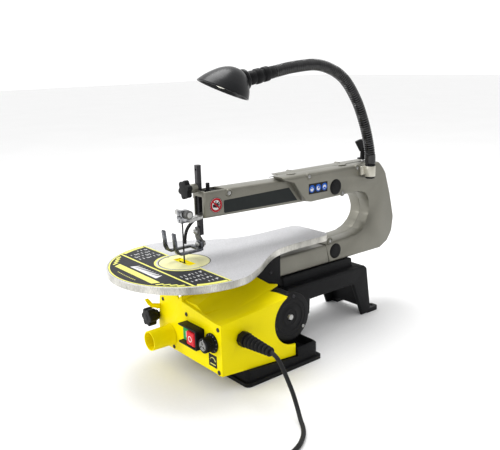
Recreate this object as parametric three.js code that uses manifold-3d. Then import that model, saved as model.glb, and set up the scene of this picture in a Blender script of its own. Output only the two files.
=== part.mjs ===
// Benchtop scroll saw: a C-shaped frame, two rocking arms, a blade, a tilting table and a lamp.
// Units are millimetres, +Z up. The plan below is drawn with the blade at X = 0, Y = 0,
// the operator at -Y and the floor at Z = 0; SHIFT_Y then centres the saw over the origin.
import * as THREE from 'three';
import { mergeVertices } from 'three/addons/utils/BufferGeometryUtils.js';
import Module from 'manifold-3d';

const wasm = await Module();
wasm.setup();

// ---------- driving dimensions ----------
const SHIFT_Y = -177.85;              // moves the middle of the saw's length to Y = 0
const TABLE_TOP = 176;                // height of the table above the floor
const TABLE_R = 127.5;                // radius of the table's front arc
const TABLE_ARC_Y = 7.5;              // centre of that arc
const TABLE_PLATE = 7;                // plate thickness
const TABLE_RIM = 11;                 // rim depth
const TAIL_END = 281;                 // back end of the table
const INSERT_R = 40;
const TILT_Z = 182;                   // height of the table's tilt axis, which runs along Y at X = 0
const QUAD_R = 120.8;                 // radius of the tilt quadrant's slot
const QUAD_LOCK = 28.7;               // where the lock stud sits, degrees left of straight down
const HOUSING_X = 28;                 // half width of the C-frame
const WALL = 5;
const ARM_X = 17;                     // half width of the fixed front arm
const FACE_Y = 33;                    // front face of the arm's head
const PIVOT_Y = 311;
const UPPER_Z = 254;                  // upper rocking pivot
const LOWER_Z = 134.4;                // lower rocking pivot
const LINK_Y = 414;                   // tension rod joining the arms' back ends
const MOTOR_Y = 125.5;
const MOTOR_Z = 79.8;
const CRANK = 4.75;                   // eccentricity, for a 16 mm stroke at the blade
const COVER_FRONT = -20;
const COVER_RIGHT = 118;
const LAMP_X = 36;
const LAMP_Y = 391;
const NECK_R = 9.5;
const BOLT_Z = 198.5;                 // bolt the hold-down fork tilts about
const CORD_D = 6.4;
const CORD_Y = 18.5;
const CORD_Z = 79.5;
const COIL = { x: 350, y: -95, inner: 32, outer: 50, height: 23 };

// ---------- colours ----------
const mats = {};
function mat(name, color, metal, rough) {
  mats[name] = new THREE.MeshStandardMaterial({ name, color, metalness: metal, roughness: rough });
}
mat('silver_paint', 0x9a978a, 0.5, 0.45);
mat('black_paint', 0x1c1f22, 0.1, 0.6);
mat('yellow', 0xf5e400, 0.0, 0.45);
mat('pale_yellow', 0xe9e58a, 0.0, 0.5);
mat('table_metal', 0xb9b9bb, 0.8, 0.4);
mat('steel', 0xc4c6c8, 0.9, 0.3);
mat('dark_steel', 0x3a3b3d, 0.6, 0.45);
mat('black_plastic', 0x16171a, 0.0, 0.55);
mat('red', 0xc0222a, 0.0, 0.4);
mat('green', 0x13723a, 0.0, 0.4);
mat('bulb', 0xe8e6da, 0.0, 0.3);
mat('rubber', 0x141416, 0.0, 0.8);

// ---------- shape helpers ----------
const AXES = { x: new THREE.Vector3(1, 0, 0), y: new THREE.Vector3(0, 1, 0),
  z: new THREE.Vector3(0, 0, 1) };

function solid(geometry) {
  let g = geometry.index ? geometry.clone() : geometry;
  g.deleteAttribute('normal');
  g.deleteAttribute('uv');
  g = mergeVertices(g, 1e-4);
  const tris = [];
  const idx = g.index.array;
  for (let k = 0; k < idx.length; k += 3) {
    const [a, b, c] = [idx[k], idx[k + 1], idx[k + 2]];
    if (a !== b && b !== c && c !== a) tris.push(a, b, c);
  }
  const mesh = new wasm.Mesh({
    numProp: 3,
    vertProperties: new Float32Array(g.attributes.position.array),
    triVerts: new Uint32Array(tris),
  });
  mesh.merge();
  return new wasm.Manifold(mesh);
}

function toGeometry(s) {
  const m = s.getMesh();
  const g = new THREE.BufferGeometry();
  g.setAttribute('position', new THREE.BufferAttribute(new Float32Array(m.vertProperties), 3));
  g.setIndex(new THREE.BufferAttribute(new Uint32Array(m.triVerts), 1));
  return g;
}

const add = (...s) => s.reduce((a, b) => a.add(b));
const cut = (a, ...s) => s.reduce((r, b) => r.subtract(b), a);

function box(x0, x1, y0, y1, z0, z1) {
  const g = new THREE.BoxGeometry(x1 - x0, y1 - y0, z1 - z0);
  g.translate((x0 + x1) / 2, (y0 + y1) / 2, (z0 + z1) / 2);
  return solid(g);
}

// A round bar or cone from point a to point b.
function bar(a, b, r0, r1 = r0, sides = 24) {
  const p = new THREE.Vector3(...a);
  const q = new THREE.Vector3(...b);
  const g = new THREE.CylinderGeometry(r1, r0, p.distanceTo(q), sides);
  const turn = new THREE.Quaternion().setFromUnitVectors(AXES.y, q.clone().sub(p).normalize());
  g.applyQuaternion(turn);
  g.translate((p.x + q.x) / 2, (p.y + q.y) / 2, (p.z + q.z) / 2);
  return solid(g);
}

// A closed outline from [u, v, fillet radius] corners.
function outline(corners, steps = 5) {
  const out = [];
  const n = corners.length;
  corners.forEach(([u, v, r = 0], i) => {
    const here = new THREE.Vector2(u, v);
    if (!r) { out.push(here); return; }
    const prev = corners[(i + n - 1) % n];
    const next = corners[(i + 1) % n];
    const before = new THREE.Vector2(prev[0], prev[1]).sub(here);
    const after = new THREE.Vector2(next[0], next[1]).sub(here);
    const room = 0.47 * Math.min(before.length(), after.length());
    before.normalize();
    after.normalize();
    const half = Math.acos(Math.max(-1, Math.min(1, before.dot(after)))) / 2;
    const back = Math.min(r / Math.tan(half), room);
    // A corner that is nearly straight needs no fillet.
    if (back < 0.5) { out.push(here); return; }
    const radius = back * Math.tan(half);
    const p = here.clone().addScaledVector(before, back);
    const q = here.clone().addScaledVector(after, back);
    const mid = before.clone().add(after).normalize().multiplyScalar(radius / Math.sin(half)).add(here);
    const a0 = Math.atan2(p.y - mid.y, p.x - mid.x);
    let a1 = Math.atan2(q.y - mid.y, q.x - mid.x);
    if (a1 - a0 > Math.PI) a1 -= 2 * Math.PI;
    if (a0 - a1 > Math.PI) a1 += 2 * Math.PI;
    for (let k = 0; k <= steps; k++) {
      const a = a0 + (a1 - a0) * k / steps;
      out.push(new THREE.Vector2(mid.x + radius * Math.cos(a), mid.y + radius * Math.sin(a)));
    }
  });
  return out;
}

// Extrudes an outline between lo and hi along an axis. The outline is (Y, Z) for x,
// (X, Z) for y and (X, Y) for z. A bevel rounds the two ends' edges inwards.
function prism(axis, points, lo, hi, bevel = 0, steps = 2) {
  const pts = points.map(p => (p.isVector2 ? p : new THREE.Vector2(p[0], p[1])));
  const shape = new THREE.Shape(pts);
  const g = new THREE.ExtrudeGeometry(shape, {
    depth: hi - lo - 2 * bevel, bevelEnabled: bevel > 0, bevelThickness: bevel,
    bevelSize: bevel, bevelOffset: -bevel, bevelSegments: steps, steps: 1,
  });
  g.translate(0, 0, bevel);
  const m = new THREE.Matrix4();
  if (axis === 'x') m.makeBasis(AXES.y, AXES.z, AXES.x).setPosition(lo, 0, 0);
  if (axis === 'y') m.makeBasis(AXES.x, AXES.z, new THREE.Vector3(0, -1, 0)).setPosition(0, hi, 0);
  if (axis === 'z') m.setPosition(0, 0, lo);
  g.applyMatrix4(m);
  return solid(g);
}

// A turned shape about the line from a along dir; the profile is [radius, distance] pairs.
function turned(profile, a, dir, sides = 32) {
  const g = new THREE.LatheGeometry(profile.map(([r, t]) => new THREE.Vector2(r, t)), sides);
  g.applyQuaternion(new THREE.Quaternion().setFromUnitVectors(AXES.y,
    new THREE.Vector3(...dir).normalize()));
  g.translate(...a);
  return solid(g);
}

// A round tube swept along a smooth curve through the points.
function swept(points, r, sides, steps) {
  const curve = new THREE.CatmullRomCurve3(points.map(p => new THREE.Vector3(...p)), false,
    'centripetal');
  const ring = [];
  for (let k = 0; k < sides; k++) {
    const a = 2 * Math.PI * k / sides;
    ring.push(new THREE.Vector2(r * Math.cos(a), r * Math.sin(a)));
  }
  const g = new THREE.ExtrudeGeometry(new THREE.Shape(ring), { steps, extrudePath: curve });
  return solid(g);
}

// A knob head with rounded lobes: the outline for a prism across its axis.
function lobes(cu, cv, rOut, rIn, count, phase = 0) {
  const pts = [];
  for (let k = 0; k < count * 4; k++) {
    const a = phase + 2 * Math.PI * k / (count * 4);
    const w = 0.5 + 0.5 * Math.cos(count * (a - phase));
    const r = rIn + (rOut - rIn) * Math.sqrt(w);
    pts.push([cu + r * Math.cos(a), cv + r * Math.sin(a)]);
  }
  return pts;
}

const group = new THREE.Group();
function part(name, s, material) {
  const g = toGeometry(s);
  g.translate(0, SHIFT_Y, 0);
  g.computeVertexNormals();
  const mesh = new THREE.Mesh(g, mats[material]);
  mesh.name = name;
  group.add(mesh);
}

// ---------- base casting ----------
function basePan() {
  const foot = outline([[-128, 18.5, 8], [128, 18.5, 8], [128, 177, 8], [-128, 177, 8]], 3);
  const flange = prism('z', foot, 0, 6);
  const wall = prism('z', outline([[-123, 23, 8], [123, 23, 8], [123, 172, 8], [-123, 172, 8]], 3),
    0, 30, 3, 1);
  const under = prism('z', outline([[-118, 28, 5], [118, 28, 5], [118, 167, 5], [-118, 167, 5]], 2),
    -1, 11);
  const over = prism('z', outline([[-118, 28, 5], [118, 28, 5], [118, 167, 5], [-118, 167, 5]], 2),
    15, 40);
  // The cover's lower edge slopes down to the back, so the pan's wall is cut to follow it.
  const slope = prism('x', [[10, 25.8], [127, 16.4], [127, 60], [10, 60]], -140, 140);
  return cut(add(flange, wall), under, over, slope);
}

function baseArch() {
  const side = outline([[172, 0], [200, 0], [205, 12], [215, 34], [225, 42], [226.5, 67.5],
    [336, 67.5, 6],
    [363, 0], [388, 0], [387, 10], [375.5, 92, 5], [368, 98, 4], [172, 98, 3]], 3);
  const body = prism('x', side, -50, 50, 2.5, 1);
  const hollow = prism('x', [[178, -1], [178, 92], [364, 92], [369, 88], [380.5, 6], [380.5, -1]],
    -44, 44);
  const archGap = box(-38, 38, 362, 395, -1, 8);
  const pad = prism('x', outline([[178, 90], [352, 90], [350, 114, 3], [176, 114, 3]], 2), -33, 33,
    1.5, 1);
  const feet = [-1, 1].map(s => cut(
    prism('z', outline([[s * 30, 378], [s * 50, 378], [s * 50, 409, 6], [s * 30, 409, 6]], 3), 0, 8),
    bar([s * 40, 400, -1], [s * 40, 400, 9], 3.6, 3.6, 16)));
  const top = add(cut(body, hollow), pad);
  return add(cut(top, archGap), ...feet);
}

function base() {
  // The arch's front wall stands in the pan's back wall, and the pan's inside stays open to it.
  const holes = [[-108, 40], [108, 40], [-108, 155], [108, 155]].map(([x, y]) =>
    bar([x, y, -2], [x, y, 20], 3.6, 3.6, 12));
  return cut(add(basePan(), baseArch()), ...holes);
}

// ---------- C-frame ----------
const C_OUT = [[186, 287], [430, 286, 12], [444, 271, 4], [450, 262, 6], [464, 220, 60],
  [476.3, 172, 30], [472, 143, 18],
  [459, 125, 12], [437, 114.5, 8], [295.6, 114.5], [286, 151.5], [340, 153.5, 20], [368, 155, 18],
  [386, 161, 14], [398, 172, 14], [406, 187, 14], [407.3, 200, 14], [402.6, 216, 12],
    [392, 230.5, 12], [374, 236.5, 16],
  [252, 235.6, 4], [237, 239], [211, 274.5], [190, 281]];

const C_IN = [[233, 282], [424, 281], [438, 268], [459, 219], [471, 173], [467, 146], [455, 129],
  [436, 119.5],
  [270, 119.5], [268, 146.5], [345, 148.5], [371, 150], [390, 157], [402, 169], [410.8, 186],
    [410.8, 201],
  [407, 218], [395, 235], [376, 241.5], [262, 240.6], [252, 246], [233, 272]];

function frontPlug(gap) {
  return prism('x', [[100, 238.2 - gap], [270, 234.8 - gap], [270, 279 + gap], [100, 283.4 + gap]],
    -ARM_X - gap, ARM_X + gap);
}

function housingHalf(side) {
  const lo = side > 0 ? 0.15 : -HOUSING_X;
  const hi = side > 0 ? HOUSING_X : -0.15;
  const whole = prism('x', outline(C_OUT, 3), -HOUSING_X, HOUSING_X, 3.5, 2);
  const half = whole.intersect(box(lo, hi, 100, 500, 50, 350));
  const inside = prism('x', C_IN, -(HOUSING_X - WALL), HOUSING_X - WALL);
  // Bosses carry the two pivot pins.
  const bosses = [UPPER_Z, LOWER_Z].map(z => bar([side * 10, PIVOT_Y, z], [side * 24, PIVOT_Y, z],
    11, 11, 16));
  const bores = [UPPER_Z, LOWER_Z].map(z => bar([-40, PIVOT_Y, z], [40, PIVOT_Y, z], 6.3));
  const caps = [UPPER_Z, LOWER_Z].map(z => bar([side * 26.2, PIVOT_Y, z], [side * 40, PIVOT_Y, z],
    14.3));
  const stem = bar([0, LINK_Y, 270], [0, LINK_Y, 300], 5.5);
  // The throat's back edge is flared on the outside in a wide crescent.
  const flare = bar([side * 22, 383, 193], [side * 28.6, 383, 193], 21, 37.5, 36);
  // The top edge is well rounded, and the left half's front end stands farther back.
  const round = [[side * 19.5, 300]];
  for (let k = 0; k <= 5; k++) {
    const a = Math.PI / 2 * k / 5;
    round.push([side * (19.5 + 8.6 * Math.sin(a)), 278.5 + 8.6 * Math.cos(a)]);
  }
  round.push([side * 32, 278.5], [side * 32, 300]);
  const edge = prism('y', round, 150, 470);
  const setBack = side < 0 ? [prism('x', [[150, 300], [203, 300], [203, 286], [228, 273], [252, 244],
    [252, 200], [150, 200]], -40, 1)] : [];
  return cut(add(cut(half, inside), ...bosses), ...bores, ...caps, stem, flare, frontPlug(0.3), edge,
    ...setBack);
}

// The casting that runs forward under the table. Its top left is cut back so that
// the tilted table clears it.
function lowerHousing() {
  const outer = prism('y', outline([[-27.6, 115, 3], [27.6, 115, 3], [27.6, 150, 4], [-6, 150, 3],
    [-27.6, 128.5, 3]], 3), 62, 294);
  const inner = prism('y', [[-23, 119.5], [23, 119.5], [23, 145.8], [-5, 145.8], [-23, 127.5]], 50,
    300);
  // The back end slopes to meet the C-frame's seam.
  const seam = prism('x', [[295.2, 110], [285.2, 155], [310, 155], [310, 110]], -40, 40);
  const rodSlot = box(-9, 9, 108, 144, 110, 122);
  return cut(outer, inner, seam, rodSlot);
}

function frontArm() {
  const side = [[FACE_Y, 242], [FACE_Y, 284], [60, 284], [268, 278.7], [268, 235], [60, 241.2]];
  const body = prism('x', side, -ARM_X, ARM_X, 4, 3);
  const boss = bar([-10.5, 22.5, 287], [-10.5, 35.3, 287], 7.2, 7.2, 20);
  const ear = box(-16.6, -3.7, FACE_Y + 0.2, 35.4, 270, 288);
  const inside = prism('x', [[35.7, 245.4], [35.7, 300], [73, 300], [73, 280], [280, 275], [280, 239],
    [60, 244.6]], -14.3, 13.7);
  const underHead = box(-14.3, 13.7, 35.7, 64, 220, 250);
  const slot = box(-12.4, 8.6, 20, 40, 220, 275);
  const thread = bar([-10.5, 10, 287], [-10.5, 40, 287], 3.3, 3.3, 16);
  return cut(add(body, boss, ear), inside, underHead, slot, thread);
}

function pivotCap(side, z) {
  const a = side * 26.4;
  const b = side * 28.6;
  return add(bar([a, PIVOT_Y, z], [b, PIVOT_Y, z], 14, 14, 22), bar([b - side * 0.2, PIVOT_Y, z],
    [b + side * 0.8, PIVOT_Y, z], 13, 11.8, 22));
}

const pivotPin = z => bar([-25.9, PIVOT_Y, z], [25.9, PIVOT_Y, z], 6);

// ---------- rocking arms ----------
function upperArm() {
  const side = outline([[11.5, 236.2], [34, 239.6], [48, 241, 4], [60, 251.5, 4], [180, 248],
    [295, 245, 4],
    [320, 244, 5], [404, 248, 4], [423, 248, 3], [423, 260, 3], [330, 265, 4], [180, 262],
      [56, 264.5, 5],
    [41, 249, 4], [34, 247.2], [11.5, 242]], 3);
  const eye = bar([-8, PIVOT_Y, UPPER_Z], [8, PIVOT_Y, UPPER_Z], 12);
  const pin = bar([-20, PIVOT_Y, UPPER_Z], [20, PIVOT_Y, UPPER_Z], 6.3);
  const tail = bar([0, LINK_Y, 248.5], [0, LINK_Y, 259.5], 8, 8, 20);
  const hole = bar([0, LINK_Y, 240], [0, LINK_Y, 270], 3.7, 3.7, 16);
  return cut(add(prism('x', side, -4, 4), eye, tail), pin, hole);
}

function lowerArm() {
  const side = outline([[8, 108.4], [16, 108.4, 2], [22, 126, 4], [110, 129.4], [295, 128, 4],
    [325, 126.5, 4],
    [404, 128.4, 4], [423, 128.4, 3], [423, 140.4, 3], [325, 141, 4], [295, 141, 4], [110, 139.4],
    [10, 138, 3], [8, 134]], 3);
  const eye = bar([-8, PIVOT_Y, LOWER_Z], [8, PIVOT_Y, LOWER_Z], 10.5);
  const pin = bar([-20, PIVOT_Y, LOWER_Z], [20, PIVOT_Y, LOWER_Z], 6.3);
  const tail = bar([0, LINK_Y, 128.9], [0, LINK_Y, 139.9], 8, 8, 20);
  const hole = bar([0, LINK_Y, 120], [0, LINK_Y, 150], 3.7, 3.7, 16);
  const rodPin = bar([-10, MOTOR_Y, LOWER_Z], [10, MOTOR_Y, LOWER_Z], 3.3, 3.3, 16);
  const fork = box(-2.6, 2.6, MOTOR_Y - 9, MOTOR_Y + 9, 120, 150);
  return cut(add(prism('x', side, -4.4, 4.4), eye, tail), pin, hole, rodPin, fork);
}

function connectingRod() {
  const low = [0, MOTOR_Y + CRANK, MOTOR_Z];
  const eyeLow = bar([-2.3, low[1], low[2]], [4, low[1], low[2]], 9);
  const eyeTop = bar([-2.3, MOTOR_Y, LOWER_Z], [2.3, MOTOR_Y, LOWER_Z], 5.2);
  const shank = prism('x', [[MOTOR_Y + CRANK - 5.5, MOTOR_Z + 5], [MOTOR_Y + CRANK + 5.5, MOTOR_Z + 5],
    [MOTOR_Y + 4, LOWER_Z], [MOTOR_Y - 4, LOWER_Z]], -2.3, 2.3);
  const hole = bar([-5, MOTOR_Y, LOWER_Z], [5, MOTOR_Y, LOWER_Z], 3.3, 3.3, 16);
  const dish = bar([2.6, low[1], low[2]], [6, low[1], low[2]], 4.6);
  return cut(add(eyeLow, shank, eyeTop), hole, dish);
}

// ---------- blade and its clamps ----------
const blade = () => box(-0.35, 0.35, -1.25, 1.25, 117, 246);

function upperClamp() {
  const body = prism('y', outline([[-7, 238.5, 1.5], [5.8, 238.5, 1.5], [5.8, 258, 2],
    [-7, 258, 2]], 2), -4.5, 10.3);
  const lip = box(-4, 4, -7.5, 0, 245.5, 249.5);
  const slit = box(-0.7, 0.7, -9, 1.9, 230, 251);
  const bore = bar([-20, 4.5, 252], [20, 4.5, 252], 2.8, 2.8, 16);
  return cut(add(body, lip), slit, bore);
}

function upperClampScrew() {
  const knurl = prism('x', lobes(4.5, 252, 7.2, 6.7, 9), 6.2, 14.6, 0.8, 1);
  const face = bar([14.4, 4.5, 252], [15.6, 4.5, 252], 4.6, 4.1);
  const shank = bar([-19, 4.5, 252], [7, 4.5, 252], 2.4, 2.4, 16);
  const tip = bar([-22, 4.5, 252], [-12, 4.5, 252], 4.4, 4.4, 16);
  return add(knurl, face, shank, tip);
}

function lowerClamp() {
  const body = prism('y', outline([[-6, 104, 1.5], [6, 104, 1.5], [6, 122, 2], [-6, 122, 2]], 2),
    -5.5, 7);
  const slit = box(-0.7, 0.7, -9, 1.9, 116.6, 130);
  const bore = bar([-20, 3.6, 111], [20, 3.6, 111], 2.8, 2.8, 16);
  return cut(body, slit, bore);
}

function lowerClampScrew() {
  return add(bar([-5, 3.6, 111], [7, 3.6, 111], 2.4, 2.4, 16),
    prism('x', lobes(3.6, 111, 6.2, 5.8, 6), 6.3, 12));
}

// ---------- tension link ----------
function tensionRod() {
  return add(bar([0, LINK_Y, 123.5], [0, LINK_Y, 300], 2.8, 2.8, 16),
    bar([0, LINK_Y, 122.9], [0, LINK_Y, 127.6], 7, 7, 6),
      bar([0, LINK_Y, 262.6], [0, LINK_Y, 270.5], 6.5, 6.5, 16));
}

function tensionKnob() {
  const washer = bar([0, LINK_Y, 290.4], [0, LINK_Y, 292.2], 10.5);
  const stem = bar([0, LINK_Y, 292], [0, LINK_Y, 312], 5.2, 4.6);
  const wing = prism('x', outline([[LINK_Y - 7, 305, 2], [LINK_Y + 7, 305, 2], [LINK_Y + 21, 325, 1.5],
    [LINK_Y + 8, 328, 4], [LINK_Y - 8, 328, 4], [LINK_Y - 21, 325, 1.5]], 3), -3, 3, 1, 1);
  return cut(add(washer, stem, wing), bar([0, LINK_Y, 280], [0, LINK_Y, 303], 3.2, 3.2, 16));
}

// ---------- motor ----------
const M = (x, dy = 0, dz = 0) => [x, MOTOR_Y + dy, MOTOR_Z + dz];

function motorCan() {
  const shell = bar(M(36), M(99.6), 37, 37, 32);
  const nose = bar(M(31), M(38), 14, 16, 24);
  const mount = box(40, 92, MOTOR_Y - 26, MOTOR_Y + 26, 15.3, MOTOR_Z - 26);
  const hollow = bar(M(39.9), M(105), 33.5, 33.5, 32);
  return cut(add(shell, nose, mount), hollow, bar(M(20), M(60), 5.6));
}

function motorEndCap() {
  const disc = turned([[0, 0], [37, 0], [40.2, 2.2], [40.2, 7], [38.6, 8.4], [24, 8.4], [22.5, 7.2],
    [0, 7.2]],
    M(100), [1, 0, 0], 36);
  const slots = [];
  for (let k = 0; k < 3; k++) {
    const a = 2 * Math.PI * (k + 0.5) / 3;
    slots.push(bar(M(95, 18 * Math.cos(a), 18 * Math.sin(a)),
      M(112, 18 * Math.cos(a), 18 * Math.sin(a)), 2.6, 2.6, 8));
  }
  return cut(disc, bar(M(90), M(115), 6), ...slots);
}

function rotor() {
  return add(bar(M(14.5), M(106.6), 5.2), bar(M(48), M(88), 28, 28, 28), bar(M(91), M(95), 30, 30, 28),
    bar(M(106.4), M(109.4), 5.2, 4.4, 12));
}

function crank() {
  const disc = bar(M(6.5), M(14.2), 15, 15, 28);
  const weight = prism('x', [[MOTOR_Y - 24, MOTOR_Z - 9], [MOTOR_Y - 8, MOTOR_Z - 12],
    [MOTOR_Y - 8, MOTOR_Z + 12],
    [MOTOR_Y - 24, MOTOR_Z + 9]], 7, 13);
  return add(disc, weight, bar(M(4.5, CRANK), M(7, CRANK), 4, 4, 16));
}

// ---------- motor cover ----------
function motorCover() {
  const t = 2.8;
  const tall = [[-51, 10], [COVER_RIGHT, 10], [COVER_RIGHT, 121], [17, 121], [17, 127], [-20, 127],
    [-49, 111],
    [-56, 62], [-51, 29]];
  const outer = prism('y', tall, COVER_FRONT, 131);
  const inner = prism('y', [[-48.5, 0], [COVER_RIGHT - t, 0], [COVER_RIGHT - t, 121 - t],
    [17 - t, 121 - t],
    [17 - t, 140], [-17, 140], [-46.5, 108], [-53, 62]], COVER_FRONT + t, 140);
  // The roof over the right-hand part: front edge at 109, back at 120.
  const roofOut = prism('x', [[-40, 107.6], [170, 123.5], [170, 135], [-40, 135]], 17.01, 130);
  const roofIn = prism('x', [[COVER_FRONT + t, 106], [170, 121.2], [170, 0], [COVER_FRONT + t, 0]],
    14.2, COVER_RIGHT - t);
  const roof = cut(prism('x', [[COVER_FRONT, 100], [140, 100], [140, 125], [COVER_FRONT, 125]], 14.2,
    COVER_RIGHT), roofOut);
  const backWall = box(14, 130, 131, 170, 0, 117.5);
  // Beside the casting under the table the roof rises in a ramp.
  // Its front is a slope that starts from the front wall's brow.
  const slope = prism('x', [[-30, 117.6], [-30, 160], [46, 160], [46, 131.4]], 10, 80);
  const slopeIn = prism('x', [[-30, 114.6], [-30, 160], [46, 160], [46, 128.4]], 10, 80);
  const ramp = cut(add(prism('y', [[32.4, 108], [66, 108], [66, 112], [32.4, 131]], -14, 140),
    prism('y', [[17.2, 108], [33, 108], [33, 131], [17.2, 131]], -14, 56)), slope);
  const rampIn = cut(add(prism('y', [[34.4, 100], [60, 100], [60, 112.5], [34.4, 127.5]], -11, 170),
    prism('y', [[19.4, 100], [35, 100], [35, 127.5], [19.4, 127.5]], -11, 53.6)), slopeIn);
  const brow = prism('y', [[17.2, 104], [110, 104], [110, 108.3], [17.2, 119.5]], COVER_FRONT,
    COVER_FRONT + 6.2);
  const rampEnd = prism('z', [[20, 112], [33, 118], [62, 137], [80, 137], [80, 170], [20, 170]],
    117.6, 140);
  const bottom = prism('x', [[-30, 29.8], [140, 16.4], [140, -10], [-30, -10]], -70, 130);
  const leftOpen = box(-70, 14.1, 15, 140, -5, 140);
  const rightBack = box(80, 130, 126, 140, 0, 102);
  const backTop = prism('z', [[57, 170], [57, 160], [73, 109], [88, 113.5], [130, 115],
    [130, 170]], 90, 140);
  const motorHole = bar([114, MOTOR_Y, MOTOR_Z], [130, MOTOR_Y, MOTOR_Z], 42.5, 42.5, 40);
  const capRoom = bar([94, MOTOR_Y, MOTOR_Z], [115, MOTOR_Y, MOTOR_Z], 40.9, 40.9, 32);
  const housingRoom = box(10, 32.2, 58, 170, 95, 130);
  const notch = prism('y', [[-6, 140], [8, 120.5], [14, 127], [14, 140]], -30, COVER_FRONT + t + 0.2);
  const bladeWay = box(-14, 14, -30, COVER_FRONT + 10, 128, 150);
  const switchHole = box(31.7, 72.3, -30, 0, 63.7, 88.3);
  const speedHole = bar([95, -30, 76], [95, 0, 76], 4.5, 4.5, 16);
  const glandHole = bar([110, CORD_Y, CORD_Z], [125, CORD_Y, CORD_Z], 7.3, 7.3, 20);
  const portHole = bar([-21, -30, 52], [-21, 0, 52], 13.8, 13.8, 32);
  let shell = cut(outer, inner, roofOut);
  shell = add(cut(add(shell, roof), roofIn), cut(ramp, rampIn, roofIn), cut(brow, roofIn));
  shell = cut(shell, backWall, rampEnd, bottom, leftOpen, rightBack, backTop, motorHole, capRoom, housingRoom,
    notch, bladeWay, switchHole,
    speedHole, glandHole, portHole);
  const shelf = box(-66, -50, -25.4, -17.6, 89, 92);
  return add(shell, shelf);
}

function dustPort() {
  const tube = turned([[14.4, 0], [16.9, 0], [16.5, 10], [16.2, 40], [14.4, 40], [14.4, 0]],
    [-21, COVER_FRONT - 0.3, 52], [0, -1, 0], 36);
  return tube;
}

// ---------- switch and speed control ----------
function switchHood() {
  const hood = prism('y', outline([[28, 60, 1.5], [76, 60, 1.5], [76, 92, 1.5], [28, 92, 1.5]], 2),
    -36, -20.3);
  const well = box(31, 73, -40, -22.6, 63, 89);
  const leftCut = box(20, 34, -40, -27, 63, 89);
  const body = box(32, 72, -20.4, 8, 64, 88);
  return cut(add(hood, body), well, leftCut);
}

const onButton = () => prism('y',
  outline([[33.4, 65, 2], [51, 65, 2], [51, 87, 2], [33.4, 87, 2]], 2), -31, -25.5, 1, 1);
const offButton = () => prism('y',
  outline([[51.6, 65, 2], [72.4, 65, 2], [72.4, 87, 2], [51.6, 87, 2]], 2), -37.5, -25.5,
  1.5, 1);

function speedDial() {
  const disc = bar([95, -20.3, 76], [95, -22.3, 76], 15.4, 15.4, 36);
  const stem = bar([95, -20.5, 76], [95, -8, 76], 4);
  return cut(add(disc, stem), bar([95, -30, 76], [95, -12, 76], 2.4, 2.4, 12));
}

function speedKnob() {
  return add(prism('y', lobes(95, 76, 11.4, 10.6, 10), -38.2, -22.7, 0.8, 1),
    bar([95, -38, 76], [95, -39.4, 76], 9),
    bar([95, -23, 76], [95, -13, 76], 2, 2, 12));
}

// ---------- table ----------
const TABLE_SIDE = [[127.5, 7.5], [126.2, 22], [122.4, 34], [116.5, 46], [109, 59], [100.2, 73],
  [90.5, 87], [80.5, 101],
  [70.5, 116], [61.6, 131], [54.8, 147], [50.4, 164], [48, 182], [47, 202], [47, 230], [47, 262]];

function tableOutline(inset) {
  const pts = [];
  const r = TABLE_R - inset;
  const n = 22;
  for (let k = 0; k <= n; k++) {
    const a = -Math.PI + Math.PI * k / n;
    pts.push([r * Math.cos(a), TABLE_ARC_Y + r * Math.sin(a)]);
  }
  const right = TABLE_SIDE.slice(1).map(([x, y]) => [x - inset, y]);
  const corner = [];
  for (let k = 0; k <= 5; k++) {
    const a = Math.PI / 2 * k / 5;
    const rr = 19;
    corner.push([47 - 19 + (rr - inset) * Math.cos(a), TAIL_END - 19 + (rr - inset) * Math.sin(a)]);
  }
  const half = [...right, ...corner];
  return [...pts, ...half, ...half.map(([x, y]) => [-x, y]).reverse()];
}

function table() {
  const plate = prism('z', tableOutline(0), TABLE_TOP - TABLE_RIM, TABLE_TOP, 0.8, 1);
  const under = prism('z', tableOutline(5), TABLE_TOP - TABLE_RIM - 5, TABLE_TOP - TABLE_PLATE);
  const seat = bar([0, 0, TABLE_TOP - 3.3], [0, 0, TABLE_TOP + 5], INSERT_R + 0.4, INSERT_R + 0.4, 48);
  const through = bar([0, 0, TABLE_TOP - 30], [0, 0, TABLE_TOP + 5], INSERT_R - 4, INSERT_R - 4, 48);
  return cut(plate, under, seat, through);
}

function tableInsert() {
  const disc = bar([0, 0, TABLE_TOP - 3], [0, 0, TABLE_TOP - 0.2], INSERT_R, INSERT_R, 48);
  const well = prism('z', outline([[-24, -9, 2], [24, -9, 2], [24, 9, 2], [-24, 9, 2]], 2),
    TABLE_TOP - 5, TABLE_TOP - 3);
  const dish = prism('z', outline([[-22, -7, 1.5], [22, -7, 1.5], [22, 7, 1.5], [-22, 7, 1.5]], 2),
    TABLE_TOP - 2.6, TABLE_TOP + 1);
  const slotX = box(-16.5, 4, -2.4, 2.4, TABLE_TOP - 10, TABLE_TOP + 1);
  const nicks = [[37.5, 6], [-37.5, -6]].map(([x, y]) => bar([x, y, TABLE_TOP - 5],
    [x, y, TABLE_TOP + 1], 1.6, 1.6, 10));
  return cut(add(disc, well), dish, slotX, ...nicks);
}

// Points on an arc about the tilt axis, measured in degrees left of straight down.
function arcPoints(r, from, to, n) {
  const out = [];
  for (let k = 0; k <= n; k++) {
    const a = THREE.MathUtils.degToRad(from + (to - from) * k / n);
    out.push([-r * Math.sin(a), TILT_Z - r * Math.cos(a)]);
  }
  return out;
}

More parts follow.
